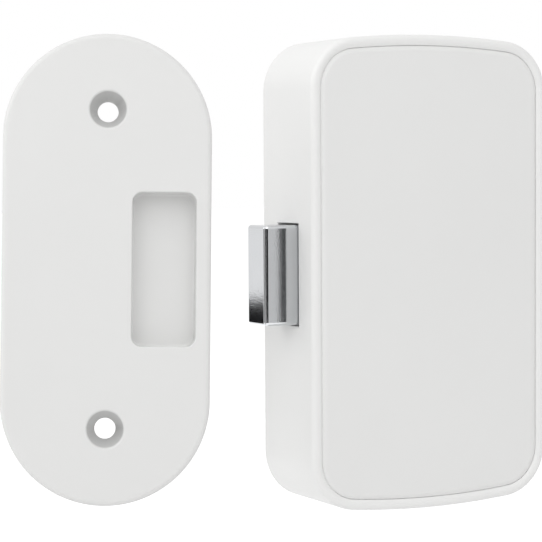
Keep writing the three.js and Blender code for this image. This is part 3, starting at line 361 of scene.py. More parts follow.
# Where the strike stands beside the lock, in millimetres, and how it is turned there.
STRIKE_PLACE = (-65.1, -9.7, 2.0)
STRIKE_STAND = (
    Matrix.Rotation(math.radians(-22), 4, "Z")
    @ Matrix.Rotation(math.radians(-5), 4, "X")
    @ Matrix.Rotation(math.radians(1.2), 4, "Y")
)
# White ABS strike, with painted shade greying its countersinks.
WHITE_STRIKE = SinkShadedMoulding(
    "abs_white_moulded_strike", "white_strike", "#e1e1e0", "#dddddc",
    roughness=(0.42, 0.52), drift_mm=24.0, grain_mm=0.4, depth_mm=0.003,
    place_mm=STRIKE_PLACE, stand=tuple(STRIKE_STAND.to_euler()),
)
# Zinc casting polished and chrome plated: mirror bands with a faint cast grain under the plate.
CHROME = Finish(
    "zinc_casting_chrome_plated", "latch_chrome", "#d3d4d6", "#c9cbcd",
    roughness=(0.05, 0.12), drift_mm=6.0, grain_mm=0.28, depth_mm=0.006, metallic=1.0,
)
# Natural acetal, moulded: milky white, slightly waxy.
ACETAL = Finish(
    "acetal_natural_moulded", "acetal", "#e6e3d8", "#dedacd",
    roughness=(0.32, 0.44), drift_mm=8.0, grain_mm=0.3, depth_mm=0.002, ior=1.48,
)
# Drawn spring wire: bright, with a soft uneven blur.
SPRING_WIRE = Finish(
    "spring_steel_drawn_wire", "spring_steel", "#a9abad", "#8f9194",
    roughness=(0.2, 0.34), drift_mm=2.0, grain_mm=0.12, depth_mm=0.002, metallic=1.0,
)
# Zinc-plated screw steel: bluish, a little cloudy.
SCREW_STEEL = Finish(
    "steel_screw_zinc_plated", "screw_steel", "#b9bcc0", "#9ea2a8",
    roughness=(0.24, 0.4), drift_mm=1.2, grain_mm=0.15, depth_mm=0.002, metallic=1.0,
)
# Drawn steel can, nickel plated: streaks along the draw.
MOTOR_STEEL = Finish(
    "steel_can_drawn_nickel_plated", "motor_steel", "#b7b5b0", "#a3a19c",
    roughness=(0.22, 0.38), drift_mm=4.0, grain_mm=0.25, depth_mm=0.002, metallic=1.0,
    stretch=(1.0, 1.0, 0.12),
)
# Sintered magnet under bright nickel: a clear, slightly uneven mirror.
MAGNET = Finish(
    "magnet_sintered_nickel_plated", "magnet_nickel", "#c6c4be", "#b3b1ab",
    roughness=(0.12, 0.25), drift_mm=1.0, grain_mm=0.2, depth_mm=0.001, metallic=1.0,
)
# Hobbed brass: warm, with cutter lines across the teeth.
BRASS = Finish(
    "brass_hobbed_gear", "gear_brass", "#c9a85c", "#b08f48",
    roughness=(0.2, 0.36), drift_mm=1.5, grain_mm=0.12, depth_mm=0.002, metallic=1.0,
    stretch=(1.0, 1.0, 0.2),
)
# Tin-plated sheet, stamped: greyish mirror with soft blur.
SHIELD = Finish(
    "steel_sheet_tin_plated", "shield_tin", "#c3c5c6", "#b2b4b6",
    roughness=(0.18, 0.3), drift_mm=2.5, grain_mm=0.3, depth_mm=0.0015, metallic=1.0,
)
# Nickel-plated spring strip: bright, rolled along its length.
CONTACT = Finish(
    "strip_steel_nickel_plated", "contact_nickel", "#cac8c1", "#b8b5ad",
    roughness=(0.16, 0.3), drift_mm=2.0, grain_mm=0.15, depth_mm=0.0015, metallic=1.0,
    stretch=(1.0, 1.0, 0.25),
)
# Glass-filled nylon, moulded black: matt, with paler flow marks.
BLACK_NYLON = Finish(
    "nylon_black_moulded", "black_plastic", "#1e1f21", "#292a2c",
    roughness=(0.45, 0.62), drift_mm=5.0, grain_mm=0.25, depth_mm=0.004, ior=1.53,
)
# Solder mask over laminate: glossy green with paler tracks under it.
LAMINATE = TrackedLaminate(
    "laminate_green_solder_mask", "board_laminate", "#155237", "#19603f",
    roughness=(0.22, 0.34), drift_mm=6.0, grain_mm=0.3, depth_mm=0.003,
)
# PVC shrink sleeve: glossy, drawn tight.
SLEEVE = BandedSleeve(
    "pvc_shrink_sleeve", "cell_sleeve", "#2f4257", "#34485f",
    roughness=(0.16, 0.26), drift_mm=9.0, grain_mm=0.6, depth_mm=0.003, ior=1.53,
)
# PVC insulation, extruded: soft gloss.
LEAD_RED = Finish(
    "pvc_red_extruded", "lead_red", "#a5221d", "#8f1b18",
    roughness=(0.3, 0.42), drift_mm=3.0, grain_mm=0.2, depth_mm=0.002, ior=1.53,
)
LEAD_BLACK = replace(
    LEAD_RED, name="pvc_black_extruded", slot="lead_black", colour="#202124", shade="#2a2b2e"
)


@dataclass(frozen=True)
class Extent:
    """The box round a CAD node, in millimetres."""

    low: Vector
    high: Vector

    @classmethod
    def of(cls, node: str) -> "Extent":
        """Reads a node's box from the frame."""
        low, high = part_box(node)
        return cls(low / MM, high / MM)

    @property
    def middle(self) -> Vector:
        """Gives the box's centre."""
        return (self.low + self.high) / 2

    @property
    def size(self) -> Vector:
        """Gives the box's three sides."""
        return self.high - self.low


@dataclass(frozen=True)
class Arc:
    """An arc in the plane of X and Z, turned from +X towards +Z."""

    x: float
    z: float
    radius: float
    start: float
    sweep: float
    steps: int


def rounded_rectangle(
    low: Sequence[float], high: Sequence[float], radius: float, steps: int = 12
) -> list[Arc]:
    """Lists the corner arcs of a rectangle.

    Args:
        low: Least X and Z.
        high: Greatest X and Z.
        radius: Corner radius.
        steps: Chords in each corner.

    Returns:
        Four arcs, in order.
    """
    quarter = math.pi / 2
    centres = [
        (high[0] - radius, high[1] - radius),
        (low[0] + radius, high[1] - radius),
        (low[0] + radius, low[1] + radius),
        (high[0] - radius, low[1] + radius),
    ]
    return [Arc(x, z, radius, k * quarter, quarter, steps) for k, (x, z) in enumerate(centres)]


class Sculpt:
    """A mesh under work, in millimetres."""

    def __init__(self) -> None:
        """Starts with an empty mesh."""
        self.bm = bmesh.new()

    def bevel(self, edges: Iterable[BMEdge], width: float, segments: int = 3, clamp: bool = False) -> None:
        """Rounds edges.

        Args:
            edges: Edges to round.
            width: How far the round reaches from each edge.
            segments: Chords across the round.
            clamp: Whether the round narrows where edges are short.
        """
        bmesh.ops.bevel(
            self.bm,
            geom=list(edges),
            offset=width,
            offset_type="OFFSET",
            affect="EDGES",
            segments=segments,
            profile=0.5,
            material=-1,
            clamp_overlap=clamp,
        )

    def box(
        self,
        low: Sequence[float],
        high: Sequence[float],
        edge: float = 0.0,
        segments: int = 2,
        at: Sequence[float] = (0.0, 0.0, 0.0),
    ) -> None:
        """Adds a block between two opposite corners.

        Args:
            low: One corner.
            high: The corner across from it.
            edge: Width of its rounded edges, or 0 for sharp ones.
            segments: Chords across each round.
            at: Point that the corners are measured from.
        """
        first, last = Vector(at) + Vector(low), Vector(at) + Vector(high)
        size = last - first
        place = Matrix.Translation((first + last) / 2) @ Matrix.Diagonal((*map(abs, size), 1.0))
        verts = bmesh.ops.create_cube(self.bm, size=1.0, matrix=place)["verts"]
        if edge > 0:
            self.bevel(dict.fromkeys(e for v in verts for e in v.link_edges), edge, segments)

    def rod(
        self, start: Sequence[float], end: Sequence[float], radius: float, edge: float = 0.0, sides: int = 40
    ) -> None:
        """Adds a round bar between two points.

        Args:
            start: Middle of one end.
            end: Middle of the other end.
            radius: Bar's radius.
            edge: Width of the rounded end edges.
            sides: Flats round the bar.
        """
        first, last = Vector(start), Vector(end)
        run = last - first
        place = Matrix.Translation((first + last) / 2) @ run.to_track_quat("Z", "Y").to_matrix().to_4x4()
        verts = bmesh.ops.create_cone(
            self.bm,
            cap_ends=True,
            cap_tris=False,
            segments=sides,
            radius1=radius,
            radius2=radius,
            depth=run.length,
            matrix=place,
        )["verts"]
        if edge > 0:
            caps = dict.fromkeys(f for v in verts for f in v.link_faces if len(f.verts) == sides)
            self.bevel(dict.fromkeys(e for f in caps for e in f.edges), edge)

    def lathe(
        self,
        profile: Sequence[tuple[float, float]],
        origin: Sequence[float],
        axis: Sequence[float],
        steps: int = 40,
    ) -> None:
        """Turns a profile round an axis.

        Args:
            profile: Pairs of a radius and a distance along the axis.
            origin: Point on the axis that distances start from.
            axis: Direction of the axis.
            steps: Flats round the axis.
        """
        along = Vector(axis).normalized()
        side = along.orthogonal().normalized()
        verts = [self.bm.verts.new(Vector(origin) + side * r + along * a) for r, a in profile]
        edges = [self.bm.edges.new(pair) for pair in zip(verts, verts[1:])]
        known = set(self.bm.faces)
        bmesh.ops.spin(
            self.bm,
            geom=[*verts, *edges],
            cent=origin,
            axis=along,
            angle=FULL_TURN,
            steps=steps,
            use_merge=True,
        )
        fresh = [f for f in self.bm.faces if f not in known]
        turned = list(dict.fromkeys(v for f in fresh for v in f.verts))
        bmesh.ops.remove_doubles(self.bm, verts=turned, dist=MERGE_MM)
        bmesh.ops.recalc_face_normals(self.bm, faces=[f for f in self.bm.faces if f not in known])

    def outline(self, arcs: Sequence[Arc], y: float) -> BMFace:
        """Draws a closed line of arcs, joined by straight runs, and fills it.

        Args:
            arcs: Arcs in order round the outline.
            y: Plane that the outline lies in.

        Returns:
            The filled face.
        """
        ends: list[tuple[BMVert, BMVert]] = []
        verts: list[BMVert] = []
        for arc in arcs:
            centre = Vector((arc.x, y, arc.z))
            reach = Vector((math.cos(arc.start), 0.0, math.sin(arc.start))) * arc.radius
            first = self.bm.verts.new(centre + reach)
            known = set(self.bm.verts)
            swept = bmesh.ops.spin(
                self.bm, geom=[first], cent=centre, axis=Axis.FRONT.value, angle=arc.sweep, steps=arc.steps
            )
            last = next(g for g in swept["geom_last"] if isinstance(g, BMVert))
            ends.append((first, last))
            verts += [first, *(v for v in self.bm.verts if v not in known)]
        for (_, last), (first, _) in zip(ends, ends[1:] + ends[:1]):
            if (last.co - first.co).length > MERGE_MM:
                self.bm.edges.new((last, first))
        bmesh.ops.remove_doubles(self.bm, verts=verts, dist=MERGE_MM)
        loop = dict.fromkeys(e for v in verts if v.is_valid for e in v.link_edges)
        return bmesh.ops.edgeloop_fill(self.bm, edges=list(loop))["faces"][0]

    def carry(self, face: BMFace, move: Sequence[float]) -> BMFace:
        """Extrudes a face.

        Args:
            face: Face to carry.
            move: How far and which way.

        Returns:
            The carried face.
        """
        attached = any(len(edge.link_faces) > 1 for edge in face.edges)
        grown = bmesh.ops.extrude_face_region(self.bm, geom=[face])["geom"]
        bmesh.ops.translate(self.bm, vec=move, verts=[g for g in grown if isinstance(g, BMVert)])
        if attached and face.is_valid:
            bmesh.ops.delete(self.bm, geom=[face], context="FACES_ONLY")
        return next(g for g in grown if isinstance(g, BMFace))

    def plate(
        self,
        arcs: Sequence[Arc],
        back: float,
        front: float,
        edge: float = 0.0,
        segments: int = 8,
        rear_edge: float = 0.0,
    ) -> None:
        """Adds a plate of that outline with rounded edges.

        Args:
            arcs: Outline, seen from the front.
            back: Y of its back face.
            front: Y of its front face.
            edge: Width of the front edge's round.
            segments: Chords across the round.
            rear_edge: Width of the back edge's round.
        """
        rear = self.outline(arcs, back)
        face = self.carry(rear, (0.0, front - back, 0.0))
        bmesh.ops.recalc_face_normals(self.bm, faces=self.bm.faces)
        if rear_edge > 0:
            self.bevel(rear.edges, rear_edge)
        if edge > 0:
            self.bevel(face.edges, edge, segments)

    def face_at(self, y: float) -> BMFace:
        """Finds the largest face that lies across Y at that place."""
        flat = [f for f in self.bm.faces if all(abs(v.co.y - y) < TOUCH_MM for v in f.verts)]
        return max(flat, key=lambda f: f.calc_area())

    def hollow(self, face: BMFace, wall: float, floor: float, root: float, slope: float = 0.0) -> None:
        """Sinks a pocket into a face, inside a rim.

        Args:
            face: Face to sink.
            wall: Width of the rim that stays round the pocket.
            floor: Y of the pocket's floor.
            root: Round where the pocket's floor meets its wall.
            slope: Radius that the rim falls away with towards the pocket, or 0 for a flat rim.
        """
        if slope > 0:
            steps = [wall * k / BOW_STEPS for k in range(BOW_STEPS + 1)]
            self.curve_inwards(face, [slope - math.sqrt(slope**2 - step**2) for step in steps], wall, -1)
        else:
            bmesh.ops.inset_region(self.bm, faces=[face], thickness=wall, use_even_offset=True)
        bottom = self.carry(face, (0.0, floor - face.verts[0].co.y, 0.0))
        self.bevel(bottom.edges, root)

    def curve_inwards(self, face: BMFace, rises: Sequence[float], width: float, way: int) -> None:
        """Lets a face's border rise or fall on a curve.

        Args:
            face: Face whose border curves.
            rises: Heights from the border inwards, at even steps.
            width: Width of the curved border.
            way: 1 to rise out of the face, -1 to fall into it.
        """
        step = width / (len(rises) - 1)
        for before, after in zip(rises, rises[1:]):
            bmesh.ops.inset_region(
                self.bm, faces=[face], thickness=step, depth=way * (after - before), use_even_offset=True
            )

    def coil(
        self,
        start: Sequence[float],
        end_x: float,
        radius: float,
        wire: float,
        turns: float,
        end_radius: float | None = None,
        steps: int = 36,
    ) -> None:
        """Winds round wire along X.

        Args:
            start: Point on the coil's axis where the wire starts.
            end_x: X where the wire ends.
            radius: Coil's radius at its start, to the wire's middle.
            wire: Wire's diameter.
            turns: Number of turns.
            end_radius: Coil's radius at its end, where it differs.
            steps: Sections in each turn.
        """
        origin = Vector(start)
        count = round(turns * steps)
        pitch = (end_x - origin.x) / count
        ring = bmesh.ops.create_circle(
            self.bm,
            cap_ends=True,
            segments=WIRE_SIDES,
            radius=wire / 2,
            matrix=Matrix.Translation(origin + Vector((0.0, radius, 0.0))),
        )["verts"]
        known = set(self.bm.verts) - set(ring)
        disc = ring[0].link_faces[0]
        bmesh.ops.spin(
            self.bm,
            geom=[disc],
            cent=origin,
            axis=Axis.X.value,
            dvec=(pitch, 0, 0),
            angle=turns * FULL_TURN,
            steps=count,
        )
        fresh = [v for v in self.bm.verts if v not in known]
        taper = (end_radius if end_radius is not None else radius) - radius
        for vert in fresh:
            share = (vert.co.x - origin.x) / (end_x - origin.x)
            out = Vector((0.0, vert.co.y - origin.y, vert.co.z - origin.z)).normalized()
            vert.co += out * taper * min(max(share, 0.0), 1.0)
        bmesh.ops.recalc_face_normals(self.bm, faces=self.bm.faces)

    def combine(self, tool: "Sculpt", how: Combine) -> None:
        """Cuts this sculpt with another or joins the two, exactly.

        Args:
            tool: The other sculpt, whose shells don't overlap.
            how: Cut or join.
        """
        pair = [part.place(name) for part, name in ((self, "work_body"), (tool, "work_tool"))]
        change = pair[0].modifiers.new("change", "BOOLEAN")
        change.object = pair[1]
        change.operation = how.value
        change.solver = "MANIFOLD"
        bpy.context.view_layer.update()
        graph = bpy.context.evaluated_depsgraph_get()
        result = bpy.data.meshes.new_from_object(pair[0].evaluated_get(graph))
        self.bm.clear()
        self.bm.from_mesh(result)
        bpy.data.meshes.remove(result)
        for obj in pair:
            mesh = obj.data
            bpy.data.objects.remove(obj)
            bpy.data.meshes.remove(mesh)

    def place(self, name: str) -> bpy.types.Object:
        """Puts the sculpt into the scene as it is.

        Args:
            name: Name of the object and of its mesh.

        Returns:
            The object.
        """
        mesh = bpy.data.meshes.new(name)
        self.bm.to_mesh(mesh)
        return add_object(name, mesh)

    def sharp_edges(self) -> list[BMEdge]:
        """Lists the edges where two faces meet at more than the smooth angle."""
        return [e for e in self.bm.edges if len(e.link_faces) == 2 and e.calc_face_angle() > SMOOTH_ANGLE]

    def edges_where(self, test: Callable[[Vector], bool]) -> list[BMEdge]:
        """Lists the sharp edges whose two ends pass a test."""
        return [e for e in self.sharp_edges() if all(test(v.co) for v in e.verts)]

    def move(self, matrix: Matrix) -> None:
        """Turns and shifts the whole sculpt."""
        bmesh.ops.transform(self.bm, matrix=matrix, verts=self.bm.verts)


@dataclass
class Assembly:
    """Pieces that belong together, and how a sculpt becomes one of them."""

    def publish(
        self, sculpt: Sculpt, name: str, finish: Finish, *nodes: str, rides: str | None = None
    ) -> bpy.types.Object:
        """Makes a finished piece of a sculpt.

        Args:
            sculpt: Its shape, in millimetres.
            name: Piece's name.
            finish: Material that it is dressed in.
            nodes: CAD nodes that it stands for.
            rides: CAD body, where no node gives it.

        Returns:
            The piece.
        """
        bmesh.ops.scale(sculpt.bm, vec=(MM, MM, MM), verts=sculpt.bm.verts)
        piece = sculpt.place(name)
        sculpt.bm.free()
        mesh = piece.data
        mesh.materials.append(finish.material())
        for polygon in mesh.polygons:
            polygon.material_index = 0
        mesh.shade_smooth()
        mesh.set_sharp_from_angle(angle=SMOOTH_ANGLE)
        even = piece.modifiers.new("even_shading", "WEIGHTED_NORMAL")
        even.keep_sharp = True
        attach(piece, rides or BODY_OF_NODE[nodes[0]])
        if nodes:
            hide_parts(*nodes)
        LOG.info("%s in %s, %d faces", name, finish.name, len(mesh.polygons))
        return piece

    def refine(self, node: str, finish: Finish, edge: float) -> bpy.types.Object:
        """Makes a node's finished piece from a copy of its solid, with broken edges.

        Args:
            node: CAD node.
            finish: Material that it is dressed in.
            edge: Width of the broken edges, in millimetres.

        Returns:
            The piece.
        """
        sculpt = self.copy_of(node)
        sculpt.bevel(sculpt.sharp_edges(), edge, 2, clamp=True)
        return self.publish(sculpt, node + "_finished", finish, node)

    def copy_of(self, node: str) -> Sculpt:
        """Copies a node's solid, with its flat faces whole again.

        Args:
            node: CAD node.

        Returns:
            The copy, in millimetres.
        """
        sculpt = Sculpt()
        sculpt.bm.from_mesh(frame["nodes"][node].data)
        bmesh.ops.scale(sculpt.bm, vec=(1 / MM, 1 / MM, 1 / MM), verts=sculpt.bm.verts)
        verts, edges = sculpt.bm.verts, sculpt.bm.edges
        bmesh.ops.remove_doubles(sculpt.bm, verts=verts, dist=TOUCH_MM)
        bmesh.ops.dissolve_limit(sculpt.bm, angle_limit=FLAT_ANGLE, verts=verts, edges=edges)
        return sculpt


@dataclass
class CaseOutline:
    """The lock's outline from the front: straight sides, arched ends, round corners."""

    half_width: float
    half_height: float
    corner: float = 10.0
    arch_rise: float = 2.0
    corner_steps: int = 20
    arch_steps: int = 24

    def arcs(self, inset: float) -> list[Arc]:
        """Lists the outline's arcs, moved inwards.

        Args:
            inset: How far inwards.

        Returns:
            Six arcs, in order.
        """
        arch = (self.half_width**2 + self.arch_rise**2) / (2 * self.arch_rise)
        arch_z = self.half_height - arch
        x = self.half_width - self.corner
        z = arch_z + math.sqrt((arch - self.corner) ** 2 - x**2)
        meet = math.atan2(z - arch_z, x)
        small, large = self.corner - inset, arch - inset
        bow = math.pi - 2 * meet
        arcs: list[Arc] = []
        for way, turn in ((1, 0.0), (-1, math.pi)):
            arcs += [
                Arc(way * x, way * z, small, turn, meet, self.corner_steps),
                Arc(0.0, way * arch_z, large, turn + meet, bow, self.arch_steps),
                Arc(-way * x, way * z, small, turn + math.pi - meet, meet, self.corner_steps),
            ]
        return arcs


@dataclass
class CaseShell(Assembly):
    """The moulded back case, with its rim, latch window, rails, bosses and screw holes."""

    wall: float = 2.12
    back_wall: float = 2.0
    edge_round: float = 1.0
    back_edge: float = 0.35
    rim_slope: float = 1.55
    floor_root: float = 0.6
    window_gap: float = 0.25
    window_edge: float = 0.3
    boss_radius: float = 2.2
    boss_edge: float = 0.2
    flange: float = 1.4
    board_gap: float = 0.2
    bed_foot: float = 1.6
    pilot_radius: float = 1.15
    pilot_depth: float = 9.0
    pilot_sides: int = 20
    hole_radius: float = 1.9
    sink_radius: float = 3.4
    sink_depth: float = 1.5
    hole_z: float = 41.0
    rail_wall: float = 1.2
    rail_lip: float = 0.9
    slide_base: float = 1.6
    slide_gap: float = 0.25
    travel: float = 6.5

    def build(self) -> None:
        """Models the shell and dresses it."""
        case = Extent.of("case_body")
        front = case.low.y
        floor = case.high.y - self.back_wall
        outline = CaseOutline(case.high.x, case.high.z)
        shell = Sculpt()
        shell.plate(outline.arcs(0.0), case.high.y, front, self.edge_round, rear_edge=self.back_edge)
        rim = self.wall - self.edge_round
        shell.hollow(shell.face_at(front), rim, floor, self.floor_root, self.rim_slope)
        for rib in self.inner_ribs(floor):
            shell.combine(rib, Combine.JOIN)
        shell.combine(self.holes(floor), Combine.CUT)
        shell.combine(self.window(case), Combine.CUT)
        side = case.low.x
        near = Extent.of("latch_bolt").high.z + OVERRUN
        frame_edges = shell.edges_where(lambda co: abs(co.x - side) < TOUCH_MM and abs(co.z) < near)
        shell.bevel(frame_edges, self.window_edge)
        self.publish(shell, "case_shell", WHITE_SHELL, "case_body")

    def window(self, case: Extent) -> Sculpt:
        """Shapes the opening that the latch comes out of.

        Args:
            case: Box of the case.

        Returns:
            The cutter.
        """
        latch = Extent.of("latch_bolt")
        gap = Vector((0.0, self.window_gap, self.window_gap))
        low, high = latch.low - gap, latch.high + gap
        cutter = Sculpt()
        left, right = case.low.x - OVERRUN, case.low.x + self.wall + OVERRUN
        cutter.box((left, low.y, low.z), (right, high.y, high.z))
        return cutter

    def inner_ribs(self, floor: float) -> list[Sculpt]:
        """Shapes the bosses and the carriage's rails.

        Args:
            floor: Y of the case's floor.

        Returns:
            What stands on the floor, one by one.
        """
        ribs: list[Sculpt] = []
        seats = {
            "guide": Extent.of("latch_guide").high.y - self.flange,
            "tray": Extent.of("battery_tray").high.y - self.flange,
            "board": Extent.of("main_board").high.y + self.board_gap,
            "clamp": Extent.of("motor_bed").low.y + self.bed_foot,
        }
        for node in SCREW_NODES:
            at = Extent.of(node).middle
            seat = seats[node.partition("_")[0]]
            boss = Sculpt()
            boss.rod((at.x, floor + OVERRUN, at.z), (at.x, seat, at.z), self.boss_radius, self.boss_edge)
            ribs.append(boss)
        slide = Extent.of("carriage")
        base_front = slide.high.y - self.slide_base - self.slide_gap
        lip_front = base_front - self.rail_wall
        left, right = slide.low.x - self.slide_gap, slide.high.x + self.travel
        for edge, way in ((slide.low.z, -1), (slide.high.z, 1)):
            inner = edge + way * self.slide_gap
            outer = inner + way * self.rail_wall
            lip = edge - way * self.rail_lip
            for start, rear in ((inner, floor + OVERRUN), (lip, base_front)):
                rail = Sculpt()
                rail.box((left, lip_front, start), (right, rear, outer))
                ribs.append(rail)
        return ribs

    def holes(self, floor: float) -> Sculpt:
        """Shapes the screw pilots and the two countersunk mounting holes.

        Args:
            floor: Y of the case's floor.

        Returns:
            The cutters.
        """
        cutters = Sculpt()
        for node in SCREW_NODES:
            at = Extent.of(node).middle
            back, front = (at.x, floor + OVERRUN, at.z), (at.x, floor - self.pilot_depth, at.z)
            cutters.rod(back, front, self.pilot_radius, sides=self.pilot_sides)
        profile = [
            (0.0, -OVERRUN),
            (self.hole_radius, -OVERRUN),
            (self.hole_radius, self.back_wall - self.sink_depth),
            (self.sink_radius, self.back_wall),
            (self.sink_radius, self.back_wall + OVERRUN),
            (0.0, self.back_wall + OVERRUN),
        ]
        for z in (-self.hole_z, self.hole_z):
            cutters.lathe(profile, (0.0, 0.0, z), Axis.FRONT.value)
        return cutters


@dataclass
class FrontCover(Assembly):
    """The clip-in front panel with its skirt and four tongues."""

    gap: float = 0.02
    recess: float = 0.2
    edge_round: float = 0.3
    edge_steps: int = 4
    crown_width: float = 0.8
    crown_radius: float = 1.5
    rim: float = 2.12
    skirt_wall: float = 1.2
    panel: float = 2.0
    skirt: float = 2.0
    skirt_root: float = 0.3
    tongue_width: float = 7.0
    tongue_spacing: float = 47.0
    tongue_sink: float = 0.5
    tongue_edge: float = 0.3

    def build(self) -> None:
        """Models the cover and dresses it."""
        case, cover = Extent.of("case_body"), Extent.of("front_cover")
        front = cover.low.y + self.recess
        back = cover.low.y + self.panel + self.skirt
        outline = CaseOutline(case.high.x, case.high.z)
        sculpt = Sculpt()
        reach, radius = self.crown_width, self.crown_radius
        base = math.sqrt(radius**2 - reach**2)
        steps = [reach * (1 - k / BOW_STEPS) for k in range(BOW_STEPS + 1)]
        heights = [math.sqrt(radius**2 - step**2) - base for step in steps]
        shoulder = front + heights[-1]
        inner_face = cover.low.y + self.panel
        sculpt.plate(outline.arcs(self.rim + self.gap), back, shoulder, self.edge_round, self.edge_steps)
        sculpt.curve_inwards(sculpt.face_at(shoulder), heights, reach, 1)
        sculpt.hollow(sculpt.face_at(back), self.skirt_wall, inner_face, self.skirt_root)
        tongues = Sculpt()
        half, root = self.tongue_width / 2, inner_face - self.tongue_sink
        for side in (-1, 1):
            outer = side * cover.high.x
            inner = outer - side * self.skirt_wall
            for middle in (-self.tongue_spacing / 2, self.tongue_spacing / 2):
                near, far = (outer, root, middle - half), (inner, cover.high.y, middle + half)
                tongues.box(near, far, self.tongue_edge)
        sculpt.combine(tongues, Combine.JOIN)
        self.publish(sculpt, "front_panel", WHITE_COVER, "front_cover")


@dataclass
class StrikePlate(Assembly):
    """The stadium-shaped strike with two countersunk holes and a pocket for the latch."""

    width: float = 39.2
    length: float = 88.7
    thickness: float = 6.0
    edge_round: float = 1.0
    back_edge: float = 0.3
    hole_spacing: float = 60.0
    hole_radius: float = 2.0
    sink_radius: float = 3.55
    sink_depth: float = 4.2
    pocket_width: float = 12.0
    pocket_height: float = 29.0
    pocket_depth: float = 5.0
    pocket_corner: float = 1.9
    pocket_offset: float = 10.75
    pocket_root: float = 0.5
    rim_round: float = 0.3
    rim_steps: int = 4
    rim_margin: float = 1.5

    def build(self) -> None:
        """Models the strike flat, then stands it beside the lock."""
        half = self.width / 2
        run = self.length / 2 - half
        back, front = self.thickness / 2, -self.thickness / 2
        stadium = [
            Arc(0.0, run, half, 0.0, math.pi, ROUND_STEPS),
            Arc(0.0, -run, half, math.pi, math.pi, ROUND_STEPS),
        ]
        sculpt = Sculpt()
        sculpt.plate(stadium, back, front, self.edge_round, rear_edge=self.back_edge)
        sculpt.combine(self.pocket(front), Combine.CUT)
        for end in (-1, 1):
            sculpt.combine(self.screw_hole(front, end * self.hole_spacing / 2), Combine.CUT)
        left, right = -self.sink_radius - OVERRUN, half - self.rim_margin
        rims = sculpt.edges_where(lambda co: abs(co.y - front) < TOUCH_MM and left < co.x < right)
        sculpt.bevel(rims, self.rim_round, self.rim_steps)
        sculpt.move(Matrix.Translation(STRIKE_PLACE) @ STRIKE_STAND)
        self.publish(sculpt, "strike", WHITE_STRIKE, "strike_plate")

    def pocket(self, front: float) -> Sculpt:
        """Shapes the pocket's cutter.

        Args:
            front: Y of the strike's face.

        Returns:
            The cutter.
        """
        x, z = self.pocket_width / 2, self.pocket_height / 2
        low, high = (self.pocket_offset - x, -z), (self.pocket_offset + x, z)
        arcs = rounded_rectangle(low, high, self.pocket_corner)
        cutter = Sculpt()
        cutter.plate(arcs, front + self.pocket_depth, front - OVERRUN, rear_edge=self.pocket_root)
        return cutter

    def screw_hole(self, front: float, z: float) -> Sculpt:
        """Shapes a countersunk hole's cutter.

        Args:
            front: Y of the strike's face.
            z: Height of the hole.

        Returns:
            The cutter.
        """
        profile = [
            (0.0, -OVERRUN),
            (self.sink_radius, -OVERRUN),
            (self.sink_radius, 0.0),
            (self.hole_radius, self.sink_depth),
            (self.hole_radius, self.thickness + OVERRUN),
            (0.0, self.thickness + OVERRUN),
        ]
        cutter = Sculpt()
        cutter.lathe(profile, (0.0, front, z), Axis.Y.value, ROUND_STEPS)
        return cutter


@dataclass
class Latch(Assembly):
    """The plated latch, its guide, spring and clip."""

    head_rear: float = -16.0
    reach: float = 7.0
    wall_side: float = 1.0
    corner: float = 0.85
    edge: float = 0.7
    edge_steps: int = 5
    crown_radius: float = 60.0
    crown_steps: int = 24
    corner_steps: int = 8
    rear_steps: int = 6
    stem_radius: float = 2.0
    stem_root: float = 1.0
    stem_chamfer: float = 0.3
    groove: float = 0.5
    clip_gap: float = 0.1
    spring_radius: float = 3.0
    spring_wire: float = 0.5
    spring_turns: float = 4.5
    travel: float = 6.5

    def build(self) -> None:
        """Models the latch and what guides it."""
        self.bolt()
        self.spring()
        self.refine("latch_clip", SPRING_WIRE, 0.08)
        self.refine("latch_guide", ACETAL, 0.2)

    def bolt(self) -> None:
        """Models the head with polished, slightly crowned faces, and the turned stem."""
        box = Extent.of("latch_bolt")
        half = box.size.y / 2
        tip = box.low.x
        sculpt = Sculpt()
        # Drawn with its thickness along Z and carried along Y, then turned upright.
        up, down = math.pi / 2, -math.pi / 2
        corner, bow, rear = self.corner, self.crown_radius, self.head_rear - self.corner
        swing = math.asin((self.reach - self.wall_side - corner) / (bow - corner))
        drop = (bow - corner) * (1 - math.cos(swing))
        crest = tip + self.reach - self.wall_side
        arcs = [
            Arc(crest, half - bow, bow, up, swing, self.crown_steps),
            Arc(tip + corner, half - corner - drop, corner, up + swing, up - swing, self.corner_steps),
            Arc(tip + corner, -half + corner + drop, corner, math.pi, up - swing, self.corner_steps),
            Arc(crest, -half + bow, bow, down - swing, swing, self.crown_steps),
            Arc(rear, -half + corner, corner, down, up, self.rear_steps),
            Arc(rear, half - corner, corner, 0.0, up, self.rear_steps),
        ]
        sculpt.plate(arcs, box.high.z, box.low.z, self.edge, self.edge_steps, rear_edge=self.edge)
        sculpt.move(Matrix.Translation((0.0, box.middle.y, 0.0)) @ Matrix.Rotation(up, 4, "X"))
        clip = Extent.of("latch_clip")
        start, end = clip.low.x - self.clip_gap, clip.high.x + self.clip_gap
        stem, neck = self.stem_radius, self.stem_radius - self.groove
        base = self.head_rear - self.stem_root
        length = box.high.x - base
        profile = [
            (0.0, 0.0),
            (stem, 0.0),
            (stem, start - base),
            (neck, start - base),
            (neck, end - base),
            (stem, end - base),
            (stem, length - self.stem_chamfer),
            (stem - self.stem_chamfer, length),
            (0.0, length),
        ]
        sculpt.lathe(profile, (base, box.middle.y, 0.0), Axis.X.value)
        self.publish(sculpt, "latch", CHROME, "latch_bolt")

    def spring(self) -> None:
        """Winds the latch's spring and gives it a mesh of its own; nothing here shortens it when the latch
        is pushed in.
        """
        box = Extent.of("latch_spring")
        half = self.spring_wire / 2
        sculpt = Sculpt()
        start, end_x = (box.low.x + half, box.middle.y, 0.0), box.high.x - half
        sculpt.coil(start, end_x, self.spring_radius, self.spring_wire, self.spring_turns)
        piece = self.publish(sculpt, "latch_coil", SPRING_WIRE, "latch_spring")
        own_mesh(piece)


